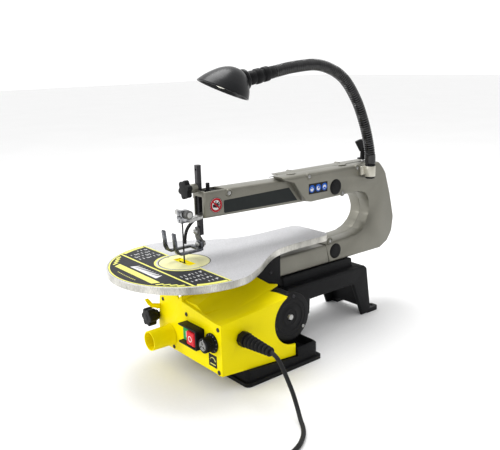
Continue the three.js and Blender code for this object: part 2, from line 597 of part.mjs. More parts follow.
function tableQuadrant() {
  const band = prism('y', [...arcPoints(QUAD_R + 7.5, 24.5, 78, 12),
    ...arcPoints(QUAD_R - 7.5, 78, 24.5, 12)], 25, 28);
  const slot = prism('y', [...arcPoints(QUAD_R + 3.5, 26.9, 75.7, 12),
    ...arcPoints(QUAD_R - 3.5, 75.7, 26.9, 12)], 20, 30);
  const hanger = prism('y', [[-112, 168.7], [-62, 168.7], [-78, 140], [-104, 128], [-116, 150]], 25,
    28);
  const flange = box(-112, -62, 27.9, 41, 165.7, 168.7);
  return cut(add(band, hanger, flange), slot);
}

// The table's back shoe is a disc segment about the tilt axis; it turns in the saddle.
function tableShoe() {
  const arc = arcPoints(29.5, -52, 52, 12);
  const last = arc[arc.length - 1][0];
  return prism('y', [...arc, [last, TABLE_TOP - TABLE_PLATE - 0.3],
    [-last, TABLE_TOP - TABLE_PLATE - 0.3]], 132, 158);
}

function saddle() {
  const arc = arcPoints(30, 14, -60, 14);
  const body = prism('y', [[-8, 150.4], [27.4, 150.4], [27.4, arc[arc.length - 1][1]],
    ...arc.slice().reverse()], 134, 156);
  return body;
}

function lockBracket() {
  const plate = prism('y', outline([[-70, 15.3], [-47, 15.3], [-47, 82, 8], [-53, 89, 6],
    [-64, 89, 6], [-70, 79, 8]], 3),
    28.6, 32.6);
  const foot = box(-70, -47, 32.4, 48, 15.3, 19.3);
  const x = -QUAD_R * Math.sin(THREE.MathUtils.degToRad(QUAD_LOCK));
  const z = TILT_Z - QUAD_R * Math.cos(THREE.MathUtils.degToRad(QUAD_LOCK));
  return cut(add(plate, foot), bar([x, 20, z], [x, 44, z], 3.4, 3.4, 16));
}

function lockKnob() {
  const x = -QUAD_R * Math.sin(THREE.MathUtils.degToRad(QUAD_LOCK));
  const z = TILT_Z - QUAD_R * Math.cos(THREE.MathUtils.degToRad(QUAD_LOCK));
  const head = prism('y', lobes(x, z, 15.5, 12.5, 6), -43, -28, 1.5, 1);
  return add(head, bar([x, -28.5, z], [x, -21, z], 11, 8), bar([x, -22, z], [x, 36, z], 3, 3, 16),
    bar([x, 33, z], [x, 37, z], 5.2, 5.2, 6));
}

function tiltPointer() {
  return prism('x', outline([[-49, 112, 1], [-42, 112, 1], [-35, 102, 3], [-20.4, 98], [-20.4, 90],
    [-36, 94.5, 3],
    [-43, 101, 3]], 2), -49, -47.2);
}

function sidePlate() {
  const p = prism('x', outline([[112, 112, 3], [173, 112, 3], [173, 162, 2], [136, 162, 12],
    [112, 134, 12]], 3),
    28, 31.5, 0.6, 1);
  return cut(p);
}

// ---------- hold-down ----------
function holdRod() {
  const rod = prism('z', outline([[-14, 36, 0.8], [-5.8, 36, 0.8], [-5.8, 44, 0.8],
    [-14, 44, 0.8]], 1), 210, 323);
  return cut(rod, bar([-10, 30, 316], [-10, 50, 316], 2, 2, 12));
}

function footBracket() {
  const bent = prism('y', outline([[-15.5, 224, 2], [-5.5, 224, 2], [-4.5, 212, 3], [6, 203, 4],
    [6, 192.4, 4],
    [-6, 192.4, 4], [-15.5, 207, 4]], 3), 32.4, 35.6, 0.5, 1);
  return cut(bent, bar([0, 20, BOLT_Z], [0, 40, BOLT_Z], 3.4, 3.4, 16));
}

const footBolt = () => add(bar([-10.5, 28.6, 217], [-10.5, 32.1, 217], 5, 5, 6),
  bar([-10.5, 28.8, 217], [-10.5, 27.4, 217], 3, 2.4, 12));

function footFork() {
  const w = 2.9;
  const prong = s => {
    const side = [[22, 192], [22, 196], [-14, 196.2], [-19, 199], [-21.5, 205], [-22.2, 214],
      [-23.6, 228.4],
      [-26.4, 229.6], [-28.2, 227.6], [-26.6, 214], [-26, 203], [-22.6, 196], [-16, 192.2]];
    return prism('x', side, s * 14.5 - w, s * 14.5 + w);
  };
  const bridge = prism('z', outline([[-16, 19, 3], [16, 19, 3], [16, 26.4, 3], [6, 31.6, 2],
    [-6, 31.6, 2],
    [-16, 26.4, 3]], 3), 192.3, 195.8);
  const ear = prism('y', outline([[-7, 192.7], [7, 192.7], [7, 205, 6], [-7, 205, 6]], 3), 28.4, 31.8);
  return cut(add(prong(1), prong(-1), bridge, ear), bar([0, 20, BOLT_Z], [0, 40, BOLT_Z], 3.2, 3.2, 16),
    bar([0, 24, BOLT_Z], [0, 28.4, BOLT_Z], 4.9, 4.9, 16));
}

const forkBolt = () => add(bar([0, 24.6, BOLT_Z], [0, 28.1, BOLT_Z], 4.5, 4.5, 12),
  bar([0, 28, BOLT_Z], [0, 37.5, BOLT_Z], 2.8, 2.8, 12),
    bar([0, 36, BOLT_Z], [0, 39.6, BOLT_Z], 4.6, 4.6, 6));

function holdKnob() {
  return add(prism('y', lobes(-10.5, 287, 15.5, 11.8, 6, 0.3), 11, 20, 1.5, 1),
    bar([-10.5, 19.8, 287], [-10.5, 22, 287], 6.5),
    bar([-10.5, 21, 287], [-10.5, 35.4, 287], 2.9, 2.9, 16));
}

function headCap() {
  return add(box(-13.9, 13.3, 45, 72.5, 275, 280), bar([1, 50, 279.8], [1, 50, 284], 5.4, 4.6, 16),
    bar([1, 50, 283.5], [1, 50, 294.5], 3.2, 3.2, 16));
}

function blowerHose() {
  return swept([[-20.6, 88, 240], [-21.4, 66, 238], [-22, 45, 236.5], [-22, 35, 231.5],
    [-18.6, 25, 226.6], [-12, 14.5, 220.6],
    [-7.6, 8.6, 211], [-6, 6.6, 202]], 3, 8, 26);
}

const hoseClip = () => cut(box(-26, -17.4, 74, 80, 234.5, 250),
  bar([-21.2, 70, 239], [-21, 84, 239.3], 3.7, 3.7, 16),
  box(-21.5, -10, 70, 84, 230, 238.9));

// ---------- lamp ----------
const NECK = [[LAMP_X, 391, 288.8], [LAMP_X, 389.6, 306], [LAMP_X, 384, 330], [LAMP_X, 372, 364],
  [LAMP_X, 350.5, 406],
  [LAMP_X, 314, 447], [LAMP_X, 262, 467.5], [LAMP_X, 205, 467], [LAMP_X, 158, 460.5]];

function lampBracket() {
  const boss = bar([LAMP_X + 2.6, LAMP_Y, 264.4], [LAMP_X + 2.6, LAMP_Y, 283.6], 9.8, 9.8, 28);
  const plate = box(28.3, 33, 374, 396, 268, 283.6);
  return cut(add(boss, plate), bar([LAMP_X + 2.6, LAMP_Y, 250], [LAMP_X + 2.6, LAMP_Y, 300], 5.4,
    5.4, 20));
}

function lampStud() {
  const x = LAMP_X + 2.6;
  return add(bar([x, LAMP_Y, 260.5], [x, LAMP_Y, 264.1], 8.6, 8.6, 6),
    bar([x, LAMP_Y, 262], [x, LAMP_Y, 286], 5, 5, 16),
    bar([x, LAMP_Y, 283.9], [x, LAMP_Y, 287.4], 9.3, 9.3, 20));
}

function lampNeck() {
  const pts = NECK.map(([x, y, z]) => [x + 2.6, y, z]);
  return add(swept(pts, NECK_R, 10, 30),
    bar([LAMP_X + 2.6, 391, 288.8], [LAMP_X + 2.6, 389.6, 306], 10, 9.9, 14));
}

const LAMP_BALL = [LAMP_X + 2.6, 114, 453.2];
const HUB_DIR = [0, -0.985, -0.17];
const MOUTH = [LAMP_X + 2.6, 58.1, 437.7];      // centre of the shade's round mouth
const MOUTH_UP = new THREE.Vector3(0.141, 0.384, 0.913).normalize();
const MOUTH_BACK = AXES.y.clone().addScaledVector(MOUTH_UP, -MOUTH_UP.y).normalize();
const SHADE_LEAN = 0.285;             // how far the dome leans back towards its hub

function alongHub(t) {
  return LAMP_BALL.map((v, i) => v + HUB_DIR[i] * t);
}

// A point inside the shade: so far back from the middle of the mouth, and so far up.
function inShade(back, up) {
  return new THREE.Vector3(...MOUTH).addScaledVector(MOUTH_BACK, back)
    .addScaledVector(MOUTH_UP, up).toArray();
}

function lampCollar() {
  const back = [LAMP_X + 2.6, 157.6, 460.4];
  const cone = bar(back, LAMP_BALL, 9.8, 9.2, 14);
  const g = new THREE.SphereGeometry(11, 14, 10);
  g.translate(...LAMP_BALL);
  const ring = (from, to, r) => {
    const [a, b] = [from, to].map(f => back.map((v, i) => v + (LAMP_BALL[i] - v) * f));
    return bar(a, b, r, r, 14);
  };
  return cut(add(cone, solid(g), ring(0.26, 0.48, 11.6), ring(0.62, 0.84, 11.9)),
    bar([LAMP_X + 2.6, 175, 463.2], back, 30, 30, 20));
}

// A turned dome that leans back: its profile is [radius, height above the mouth] pairs.
function dome(profile, sides) {
  const g = new THREE.LatheGeometry(profile.map(([r, t]) => new THREE.Vector2(r, t)), sides);
  g.applyQuaternion(new THREE.Quaternion().setFromUnitVectors(AXES.y, MOUTH_UP));
  const at = g.attributes.position;
  const p = new THREE.Vector3();
  for (let k = 0; k < at.count; k++) {
    p.fromBufferAttribute(at, k);
    p.addScaledVector(MOUTH_BACK, SHADE_LEAN * p.dot(MOUTH_UP));
    at.setXYZ(k, p.x + MOUTH[0], p.y + MOUTH[1], p.z + MOUTH[2]);
  }
  return solid(g);
}

function lampShade() {
  const outer = [[0, 0], [41.1, 0], [40.2, 3], [38, 8], [35.4, 13], [31.8, 18.5], [27.6, 24],
    [22.5, 29.5], [16.5, 34], [9, 37.4], [0, 38.6]];
  const inner = [[0, -1], [39.1, -1], [38.2, 3], [36, 8], [33.4, 13], [29.8, 18.2], [25.6, 23.4],
    [20.6, 28.4], [15, 32.4], [8, 35.4], [0, 36.5]];
  const hub = turned([[0, 11.5], [12, 11.5], [15.2, 12.3], [16.4, 13.6], [16.4, 16.6], [15.2, 18],
    [14, 19], [14, 34], [0, 34]], LAMP_BALL, HUB_DIR, 24);
  // The bulb's socket stands inside, bent down a little from the hub.
  const socket = add(bar(alongHub(13), inShade(27, 21), 8.5, 8.5, 16),
    bar(inShade(31, 22), inShade(19, 19), 8.5, 8.5, 16));
  return add(cut(add(dome(outer, 30), hub), dome(inner, 30)), socket);
}

function lampBulb() {
  const p = [[0, 0.4], [7, 0.4], [7, 4], [10, 12], [11.5, 20], [11.5, 26], [9.5, 33], [5.5, 38],
    [0, 40]];
  const from = new THREE.Vector3(...inShade(19, 19));
  const dir = new THREE.Vector3(...inShade(18.03, 18.76)).sub(from);
  return turned(p, from.toArray(), dir.toArray(), 16);
}

// ---------- mains lead ----------
function strainRelief() {
  const nut = bar([COVER_RIGHT + 0.3, CORD_Y, CORD_Z], [131, CORD_Y, CORD_Z], 12, 12, 6);
  const rings = [];
  for (let k = 0; k < 5; k++) {
    const x = 134 + 9 * k;
    const r = 11 - 0.75 * k;
    rings.push(bar([x, CORD_Y, CORD_Z], [x + 6, CORD_Y, CORD_Z], r, r - 0.4, 14));
  }
  const core = bar([130, CORD_Y, CORD_Z], [183.6, CORD_Y, CORD_Z], 9.6, 6.6, 14);
  const neck = bar([112, CORD_Y, CORD_Z], [120, CORD_Y, CORD_Z], 7, 7, 20);
  const hole = bar([174, CORD_Y, CORD_Z], [190, CORD_Y, CORD_Z], CORD_D / 2 + 0.35,
    CORD_D / 2 + 0.35, 16);
  return cut(add(nut, core, neck, ...rings), hole);
}

const CORD_ROUTE = [[174.4, CORD_Y, CORD_Z], [184, CORD_Y, CORD_Z], [196, 18.8, 75],
  [206, 19.4, 64], [216, 20, 49],
  [227, 19.6, 33], [238, 17, 18], [251, 11, 7], [266, 2, 3.6], [280, -12, 3.5], [291, -30, 3.5],
  [296, -52, 3.5], [297.6, -80, 3.5]];

const cord = () => swept(CORD_ROUTE, CORD_D / 2, 8, 22);

function cordCoil() {
  const { x, y, inner, outer, height } = COIL;
  const cm = (inner + outer) / 2;
  const hw = (outer - inner) / 2;
  return turned([[inner, 4], [inner + 4, 0.3], [outer - 4, 0.3], [outer, 4], [outer, height - 4],
    [cm + hw - 4, height],
    [inner + 4, height], [inner, height - 4], [inner, 4]], [x, y, 0], [0, 0, 1], 28);
}

function plug() {
  const a = [330, -168, 18.2];
  const g = turned([[0, 0], [4.6, 0], [6.4, 18], [12, 24], [15, 30], [18, 46], [18, 58], [0, 58]],
    a, [1, 0, 0], 20);
  const pins = [-9.5, 9.5].map(s => bar([387, -168 + s, 18.2], [406, -168 + s, 18.2], 2.4, 2.2, 12));
  return add(g, ...pins);
}

// ---------- assembly ----------
part('base', base(), 'black_paint');
part('housing_right', housingHalf(1), 'silver_paint');
part('housing_left', housingHalf(-1), 'silver_paint');
part('lower_housing', lowerHousing(), 'silver_paint');
part('front_arm', frontArm(), 'silver_paint');
part('cap_upper_right', pivotCap(1, UPPER_Z), 'black_plastic');
part('cap_upper_left', pivotCap(-1, UPPER_Z), 'black_plastic');
part('cap_lower_right', pivotCap(1, LOWER_Z), 'black_plastic');
part('cap_lower_left', pivotCap(-1, LOWER_Z), 'black_plastic');
part('pivot_pin_upper', pivotPin(UPPER_Z), 'steel');
part('pivot_pin_lower', pivotPin(LOWER_Z), 'steel');
part('upper_arm', upperArm(), 'steel');
part('lower_arm', lowerArm(), 'steel');
part('connecting_rod', connectingRod(), 'dark_steel');
part('blade', blade(), 'dark_steel');
part('upper_clamp', upperClamp(), 'steel');
part('upper_clamp_screw', upperClampScrew(), 'dark_steel');
part('lower_clamp', lowerClamp(), 'steel');
part('lower_clamp_screw', lowerClampScrew(), 'dark_steel');
part('tension_rod', tensionRod(), 'steel');
part('tension_knob', tensionKnob(), 'black_plastic');
part('motor_can', motorCan(), 'black_paint');
part('motor_end_cap', motorEndCap(), 'black_plastic');
part('rotor', rotor(), 'steel');
part('crank', crank(), 'steel');
part('motor_cover', motorCover(), 'yellow');
part('dust_port', dustPort(), 'yellow');
part('switch_hood', switchHood(), 'black_plastic');
part('on_button', onButton(), 'green');
part('off_button', offButton(), 'red');
part('speed_dial', speedDial(), 'black_plastic');
part('speed_knob', speedKnob(), 'black_plastic');
part('table', table(), 'table_metal');
part('table_insert', tableInsert(), 'pale_yellow');
part('table_quadrant', tableQuadrant(), 'black_paint');
part('table_shoe', tableShoe(), 'black_paint');
part('saddle', saddle(), 'black_paint');
part('lock_bracket', lockBracket(), 'black_paint');
part('lock_knob', lockKnob(), 'black_plastic');
part('tilt_pointer', tiltPointer(), 'yellow');
part('side_plate', sidePlate(), 'black_paint');
part('hold_rod', holdRod(), 'dark_steel');
part('foot_bracket', footBracket(), 'dark_steel');
part('foot_bolt', footBolt(), 'steel');
part('foot_fork', footFork(), 'steel');
part('fork_bolt', forkBolt(), 'steel');
part('hold_knob', holdKnob(), 'black_plastic');
part('head_cap', headCap(), 'black_plastic');
part('blower_hose', blowerHose(), 'rubber');
part('hose_clip', hoseClip(), 'black_plastic');
part('lamp_bracket', lampBracket(), 'steel');
part('lamp_stud', lampStud(), 'black_plastic');
part('lamp_neck', lampNeck(), 'black_plastic');
part('lamp_collar', lampCollar(), 'black_plastic');
part('lamp_shade', lampShade(), 'black_plastic');
part('lamp_bulb', lampBulb(), 'bulb');
part('strain_relief', strainRelief(), 'rubber');
part('cord', cord(), 'rubber');
part('cord_coil', cordCoil(), 'rubber');
part('plug', plug(), 'rubber');

export default group;
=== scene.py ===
"""Looks for the benchtop scroll saw: surfaces, fine pieces, mains lead, studio and camera.

Sizes are in millimetres in the saw's own plan (blade at X = 0, Y = 0, floor at Z = 0),
and at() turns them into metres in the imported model's frame.
"""
import bmesh
import bpy
import math
from mathutils import Matrix, Vector


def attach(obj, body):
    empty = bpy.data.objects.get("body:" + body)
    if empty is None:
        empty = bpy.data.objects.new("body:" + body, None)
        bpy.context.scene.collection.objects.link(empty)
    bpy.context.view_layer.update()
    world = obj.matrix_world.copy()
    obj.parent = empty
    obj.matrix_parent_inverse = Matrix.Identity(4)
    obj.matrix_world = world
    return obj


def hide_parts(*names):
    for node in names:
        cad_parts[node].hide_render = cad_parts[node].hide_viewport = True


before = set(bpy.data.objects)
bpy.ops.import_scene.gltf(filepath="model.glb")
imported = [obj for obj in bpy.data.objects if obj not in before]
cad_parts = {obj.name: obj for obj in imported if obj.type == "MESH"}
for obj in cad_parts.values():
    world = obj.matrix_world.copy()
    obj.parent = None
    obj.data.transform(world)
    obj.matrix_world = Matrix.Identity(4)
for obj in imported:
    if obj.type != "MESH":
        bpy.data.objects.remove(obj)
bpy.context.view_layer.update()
SHIFT_Y = -177.85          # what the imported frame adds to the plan's Y
TABLE_TOP = 176.0
TABLE_R, ARC_Y = 127.5, 7.5          # the table's round front and the Y of its centre


def at(x, y, z):
    return Vector((x, y + SHIFT_Y, z)) * 0.001


# ---------------------------------------------------------------- materials
def surface(name, color, metal=0.0, rough=0.5, blotch=(60, 0.06), grain=(1500, 0.05),
            bump=(1200, 0.1, 0.0002), stretch=(1, 1, 1), spec=0.5):
    """Base colour with large soft blotches and fine grain, uneven roughness, and a bump.

    blotch and grain are (scale, strength); bump is (scale, strength, distance in metres).
    """
    m = bpy.data.materials.new(name)
    m.use_nodes = True
    tree = m.node_tree
    bsdf = tree.nodes["Principled BSDF"]
    link = tree.links.new

    def node(kind, **inputs):
        n = tree.nodes.new(kind)
        for key, value in inputs.items():
            n.inputs[key.replace("_", " ")].default_value = value
        return n

    coord = tree.nodes.new("ShaderNodeTexCoord")
    mapping = node("ShaderNodeMapping", Scale=stretch)
    link(coord.outputs["Object"], mapping.inputs["Vector"])

    def noise(scale, detail=4.0):
        n = node("ShaderNodeTexNoise", Scale=scale, Detail=detail)
        link(mapping.outputs["Vector"], n.inputs["Vector"])
        return n.outputs["Fac"]

    def spread(fac, low, high):
        n = tree.nodes.new("ShaderNodeMapRange")
        n.inputs["From Min"].default_value = 0.3
        n.inputs["From Max"].default_value = 0.7
        n.inputs["To Min"].default_value = low
        n.inputs["To Max"].default_value = high
        link(fac, n.inputs["Value"])
        return n.outputs["Result"]

    def times(a, b):
        n = tree.nodes.new("ShaderNodeMath")
        n.operation = "MULTIPLY"
        link(a, n.inputs[0])
        link(b, n.inputs[1])
        return n.outputs[0]

    shade = times(spread(noise(blotch[0]), 1 - blotch[1], 1 + blotch[1]),
                  spread(noise(grain[0], 2.0), 1 - grain[1], 1 + grain[1]))
    tint = tree.nodes.new("ShaderNodeVectorMath")
    tint.operation = "SCALE"
    tint.inputs[0].default_value = color
    link(shade, tint.inputs["Scale"])
    link(tint.outputs["Vector"], bsdf.inputs["Base Color"])
    link(spread(noise(grain[0] * 0.4, 3.0), rough * 0.88, min(1.0, rough * 1.14)),
         bsdf.inputs["Roughness"])
    b = node("ShaderNodeBump", Strength=bump[1], Distance=bump[2])
    link(noise(bump[0], 3.0), b.inputs["Height"])
    link(b.outputs["Normal"], bsdf.inputs["Normal"])
    bsdf.inputs["Metallic"].default_value = metal
    bsdf.inputs["Specular IOR Level"].default_value = spec
    return m


SILVER = surface("silver_hammer_paint", (0.205, 0.199, 0.166), 0.55, 0.38, (25, 0.06), (2600, 0.18),
                 (1500, 0.22, 0.0002))
CREAM = surface("cream_silver_paint", (0.60, 0.58, 0.50), 0.35, 0.36, (40, 0.04), (2600, 0.08),
                (1500, 0.12, 0.0002))
BLACK = surface("black_casting_paint", (0.005, 0.0053, 0.0062), 0.0, 0.5, (45, 0.25), (900, 0.15),
                (700, 0.5, 0.0006), spec=0.15)
YELLOW = surface("yellow_gloss_paint", (0.95, 0.80, 0.0), 0.0, 0.4, (18, 0.03), (1800, 0.03),
                 (420, 0.08, 0.0004), spec=0.08)
PALE = surface("pale_yellow_plastic", (0.74, 0.72, 0.37), 0.0, 0.45, (60, 0.03), (1500, 0.04),
               (900, 0.08, 0.0002), spec=0.3)
TABLE = surface("ground_aluminium", (0.52, 0.52, 0.535), 0.45, 0.52, (22, 0.06), (1300, 0.2),
                (1100, 0.35, 0.00025), stretch=(1, 0.35, 1))
RIM = surface("milled_rim", (0.50, 0.49, 0.45), 0.8, 0.30, (30, 0.45), (1600, 0.25),
              (1400, 0.3, 0.0002), stretch=(1, 1, 0.12))
STEEL = surface("zinc_steel", (0.42, 0.42, 0.41), 0.95, 0.28, (160, 0.25), (2000, 0.10),
                (1500, 0.15, 0.0001), stretch=(1, 1, 0.3))
CHROME = surface("bright_plating", (0.26, 0.265, 0.275), 1.0, 0.14, (190, 0.6), (2000, 0.05),
                 (700, 0.12, 0.0003))
DARK = surface("blackened_steel", (0.045, 0.044, 0.048), 0.7, 0.40, (90, 0.2), (1600, 0.2),
               (1100, 0.25, 0.0002), stretch=(1, 1, 0.25))
PLASTIC = surface("black_grained_plastic", (0.006, 0.0062, 0.007), 0.0, 0.50, (70, 0.12), (2400, 0.1),
                  (1600, 0.35, 0.0002), spec=0.16)
GLOSSY = surface("glossy_black_plastic", (0.006, 0.0062, 0.007), 0.0, 0.2, (70, 0.1), (2200, 0.05),
                 (900, 0.08, 0.0002), spec=0.6)
# Chrome of the hold-down fork with a darkened base colour: a painted dark reflection, not a darker plating.
FORK_CHROME_PAINTED_DARK = surface("chrome_with_painted_dark_reflection", (0.12, 0.125, 0.14), 0.9, 0.24, (190, 0.5), (2000, 0.05),
               (700, 0.12, 0.0003))
KNOB_GREY = surface("grey_knob_cap", (0.30, 0.30, 0.29), 0.6, 0.4, (90, 0.12), (1600, 0.15),
                    (1100, 0.2, 0.0002))
GREY_STEEL = surface("grey_steel", (0.13, 0.13, 0.128), 0.7, 0.38, (90, 0.12), (1600, 0.15),
                     (1100, 0.2, 0.0002))
SATIN = surface("satin_black_shade", (0.006, 0.0065, 0.008), 0.0, 0.3, (50, 0.12), (2200, 0.06),
                (800, 0.10, 0.0002), spec=0.22)
RUBBER = surface("matt_black_rubber", (0.009, 0.009, 0.0095), 0.0, 0.62, (80, 0.15), (1800, 0.1),
                 (900, 0.25, 0.0002), spec=0.3)
RED = surface("red_button_plastic", (0.66, 0.012, 0.022), 0.0, 0.42, (150, 0.05), (1800, 0.03),
              (1200, 0.08, 0.0002), spec=0.2)
GREEN = surface("green_button_plastic", (0.006, 0.30, 0.075), 0.0, 0.42, (150, 0.05), (1800, 0.03),
                (1200, 0.08, 0.0002), spec=0.2)
BULB = surface("opal_glass", (0.80, 0.78, 0.66), 0.0, 0.22, (90, 0.03), (900, 0.02), (500, 0.03, 0.0002))
PRINT_BLACK = surface("printed_black", (0.014, 0.015, 0.018), 0.0, 0.45, (60, 0.1), (1600, 0.08),
                      (1300, 0.12, 0.0001), spec=0.12)
PRINT_YELLOW = surface("printed_yellow", (0.76, 0.74, 0.16), 0.0, 0.42, (60, 0.05), (1600, 0.05),
                       (1300, 0.12, 0.0001), spec=0.2)
PRINT_WHITE = surface("printed_white", (0.72, 0.72, 0.72), 0.0, 0.45, (60, 0.05), (1600, 0.05),
                      (1300, 0.12, 0.0001))
PRINT_RED = surface("printed_red", (0.42, 0.006, 0.014), 0.0, 0.42, (60, 0.05), (1600, 0.05),
                    (1300, 0.12, 0.0001), spec=0.2)
PRINT_BLUE = surface("printed_blue", (0.006, 0.10, 0.50), 0.0, 0.42, (60, 0.05), (1600, 0.05),
                     (1300, 0.12, 0.0001), spec=0.2)
PANEL = surface("dark_side_panel", (0.011, 0.0145, 0.0145), 0.0, 0.42, (60, 0.12), (1800, 0.15),
                (1500, 0.2, 0.0001), spec=0.2)


# ---------------------------------------------------------------- shape helpers
def smooth_group():
    """Geometry nodes that shade a mesh smooth except across edges sharper than 36 degrees."""
    g = bpy.data.node_groups.new("smooth_by_edge_angle", "GeometryNodeTree")
    g.interface.new_socket("Geometry", in_out="INPUT", socket_type="NodeSocketGeometry")
    g.interface.new_socket("Geometry", in_out="OUTPUT", socket_type="NodeSocketGeometry")
    start, end = g.nodes.new("NodeGroupInput"), g.nodes.new("NodeGroupOutput")
    faces = g.nodes.new("GeometryNodeSetShadeSmooth")
    faces.domain = "FACE"
    edges = g.nodes.new("GeometryNodeSetShadeSmooth")
    edges.domain = "EDGE"
    edges.inputs["Shade Smooth"].default_value = False
    angle = g.nodes.new("GeometryNodeInputMeshEdgeAngle")
    test = g.nodes.new("FunctionNodeCompare")
    test.operation = "GREATER_THAN"
    test.inputs[1].default_value = math.radians(36)
    g.links.new(start.outputs[0], faces.inputs["Geometry"])
    g.links.new(faces.outputs["Geometry"], edges.inputs["Geometry"])
    g.links.new(angle.outputs["Unsigned Angle"], test.inputs[0])
    g.links.new(test.outputs["Result"], edges.inputs["Selection"])
    g.links.new(edges.outputs["Geometry"], end.inputs[0])
    return g


SMOOTH = smooth_group()


def polish(o, bevel=0.0, segments=2, angle=40):
    """Merges split vertices and coplanar faces, rounds sharp edges, and shades smooth."""
    custom = o.data.attributes.get("custom_normal")
    if custom:
        o.data.attributes.remove(custom)
    weld = o.modifiers.new("weld", "WELD")
    weld.merge_threshold = 2e-6
    if bevel:
        flat = o.modifiers.new("merge_flats", "DECIMATE")
        flat.decimate_type = "DISSOLVE"
        flat.angle_limit = math.radians(0.8)
        b = o.modifiers.new("round_edges", "BEVEL")
        b.width = bevel * 0.001
        b.segments = segments
        b.limit_method = "ANGLE"
        b.angle_limit = math.radians(angle)
        b.miter_outer = "MITER_ARC"
    o.modifiers.new("smooth", "NODES").node_group = SMOOTH


def dress(names, material, bevel=0.35, segments=2, angle=40):
    """Gives CAD nodes that keep their shape a finish and softly rounded edges."""
    for name in names.split():
        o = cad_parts[name]
        o.data.materials.clear()
        o.data.materials.append(material)
        polish(o, bevel, segments, angle)


def piece(name, mesh, material, body, stands_for=()):
    """Turns a mesh in metres into a named piece that rides on a body."""
    mesh.materials.clear()
    mesh.materials.append(material)
    o = bpy.data.objects.new(name, mesh)
    bpy.context.scene.collection.objects.link(o)
    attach(o, body)
    if stands_for:
        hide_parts(*stands_for)
    polish(o)
    return o


def cleaned(me, nearer_than):
    """Merges vertices nearer than a distance (m) and turns the faces outwards."""
    bm = bmesh.new()
    bm.from_mesh(me)
    bmesh.ops.remove_doubles(bm, verts=bm.verts, dist=nearer_than)
    bmesh.ops.recalc_face_normals(bm, faces=bm.faces)
    bm.to_mesh(me)
    bm.free()
    return me


def mesh_from(verts, faces):
    me = bpy.data.meshes.new("m")
    me.from_pydata([tuple(v) for v in verts], [], faces)
    return cleaned(me, 1e-6)


def ring_faces(rings, sides, ends=True):
    """Quads between stacked rings of vertices, and a flat face on each end."""
    faces = []
    for i in range(rings - 1):
        for k in range(sides):
            a, b = i * sides + k, i * sides + (k + 1) % sides
            faces.append((a, b, b + sides, a + sides))
    if ends:
        faces.append(tuple(range(sides))[::-1])
        faces.append(tuple(range((rings - 1) * sides, rings * sides)))
    return faces


def evaluated(o):
    """The object's mesh with its modifiers applied; the object itself is removed."""
    dg = bpy.context.evaluated_depsgraph_get()
    me = bpy.data.meshes.new_from_object(o.evaluated_get(dg))
    bpy.data.objects.remove(o)
    return me


def boolean(mesh, *cutters, operation="DIFFERENCE"):
    o = bpy.data.objects.new("work", mesh)
    bpy.context.scene.collection.objects.link(o)
    tools = []
    for c in cutters:
        t = bpy.data.objects.new("tool", c)
        bpy.context.scene.collection.objects.link(t)
        tools.append(t)
        m = o.modifiers.new("b", "BOOLEAN")
        m.object, m.operation, m.solver = t, operation, "EXACT"
    me = evaluated(o)
    for t in tools:
        bpy.data.objects.remove(t)
    return me


def join_meshes(name, meshes):
    bm = bmesh.new()
    for m in meshes:
        bm.from_mesh(m)
    me = bpy.data.meshes.new(name)
    bm.to_mesh(me)
    bm.free()
    return me


def loops_mesh(loops, axis, lo, hi, bevel=0.0, steps=2):
    """A plate from closed outlines, later ones being holes. Outlines are (Y, Z) for x,
    (X, Z) for y and (X, Y) for z, in mm, and it spans lo to hi along the axis."""
    cu = bpy.data.curves.new("c", "CURVE")
    cu.dimensions = "2D"
    cu.fill_mode = "BOTH"
    cu.extrude = (hi - lo) / 2 * 0.001 - bevel * 0.001
    if bevel:
        cu.bevel_depth = bevel * 0.001
        cu.bevel_resolution = steps
        cu.offset = -bevel * 0.001
    for loop in loops:
        sp = cu.splines.new("POLY")
        sp.points.add(len(loop) - 1)
        sp.use_cyclic_u = True
        for q, (u, v) in zip(sp.points, loop):
            q.co = (u * 0.001, v * 0.001, 0, 1)
    o = bpy.data.objects.new("c", cu)
    bpy.context.scene.collection.objects.link(o)
    me = evaluated(o)
    mid = (lo + hi) / 2 * 0.001
    shift = SHIFT_Y * 0.001
    turn = {"z": Matrix(((1, 0, 0, 0), (0, 1, 0, shift), (0, 0, 1, mid), (0, 0, 0, 1))),
            "x": Matrix(((0, 0, 1, mid), (1, 0, 0, shift), (0, 1, 0, 0), (0, 0, 0, 1))),
            "y": Matrix(((1, 0, 0, 0), (0, 0, -1, mid + shift), (0, 1, 0, 0), (0, 0, 0, 1)))}
    me.transform(turn[axis])
    return cleaned(me, 1e-7)


def polar(cu, cv, r, degrees):
    return (cu + r * math.cos(math.radians(degrees)), cv + r * math.sin(math.radians(degrees)))


def circle(cu, cv, r, n=48, start=0.0, end=360.0):
    count = n if abs(end - start) < 360 else n - 1
    return [polar(cu, cv, r, start + (end - start) * k / n) for k in range(count + 1)]


def rect(u0, u1, v0, v1):
    return [(u0, v0), (u1, v0), (u1, v1), (u0, v1)]


def turned(centre, degrees, points):
    """Outline points turned about the origin and then moved to a centre."""
    a = math.radians(degrees)
    u, v = (math.cos(a), math.sin(a)), (-math.sin(a), math.cos(a))
    return [(centre[0] + u[0] * p + v[0] * q, centre[1] + u[1] * p + v[1] * q) for p, q in points]


def lathe(profile, origin, direction, sides=64):
    """Turns (radius, distance) pairs about the line from origin (mm) along direction."""
    d = Vector(direction).normalized()
    side = d.orthogonal().normalized()
    other = d.cross(side)
    base = at(*origin)
    verts = []
    for r, t in profile:
        for k in range(sides):
            a = 2 * math.pi * k / sides
            verts.append(base + (d * t + (side * math.cos(a) + other * math.sin(a)) * r) * 0.001)
    closed = (Vector(profile[0]) - Vector(profile[-1])).length < 1e-6
    return mesh_from(verts, ring_faces(len(profile), sides, not closed))


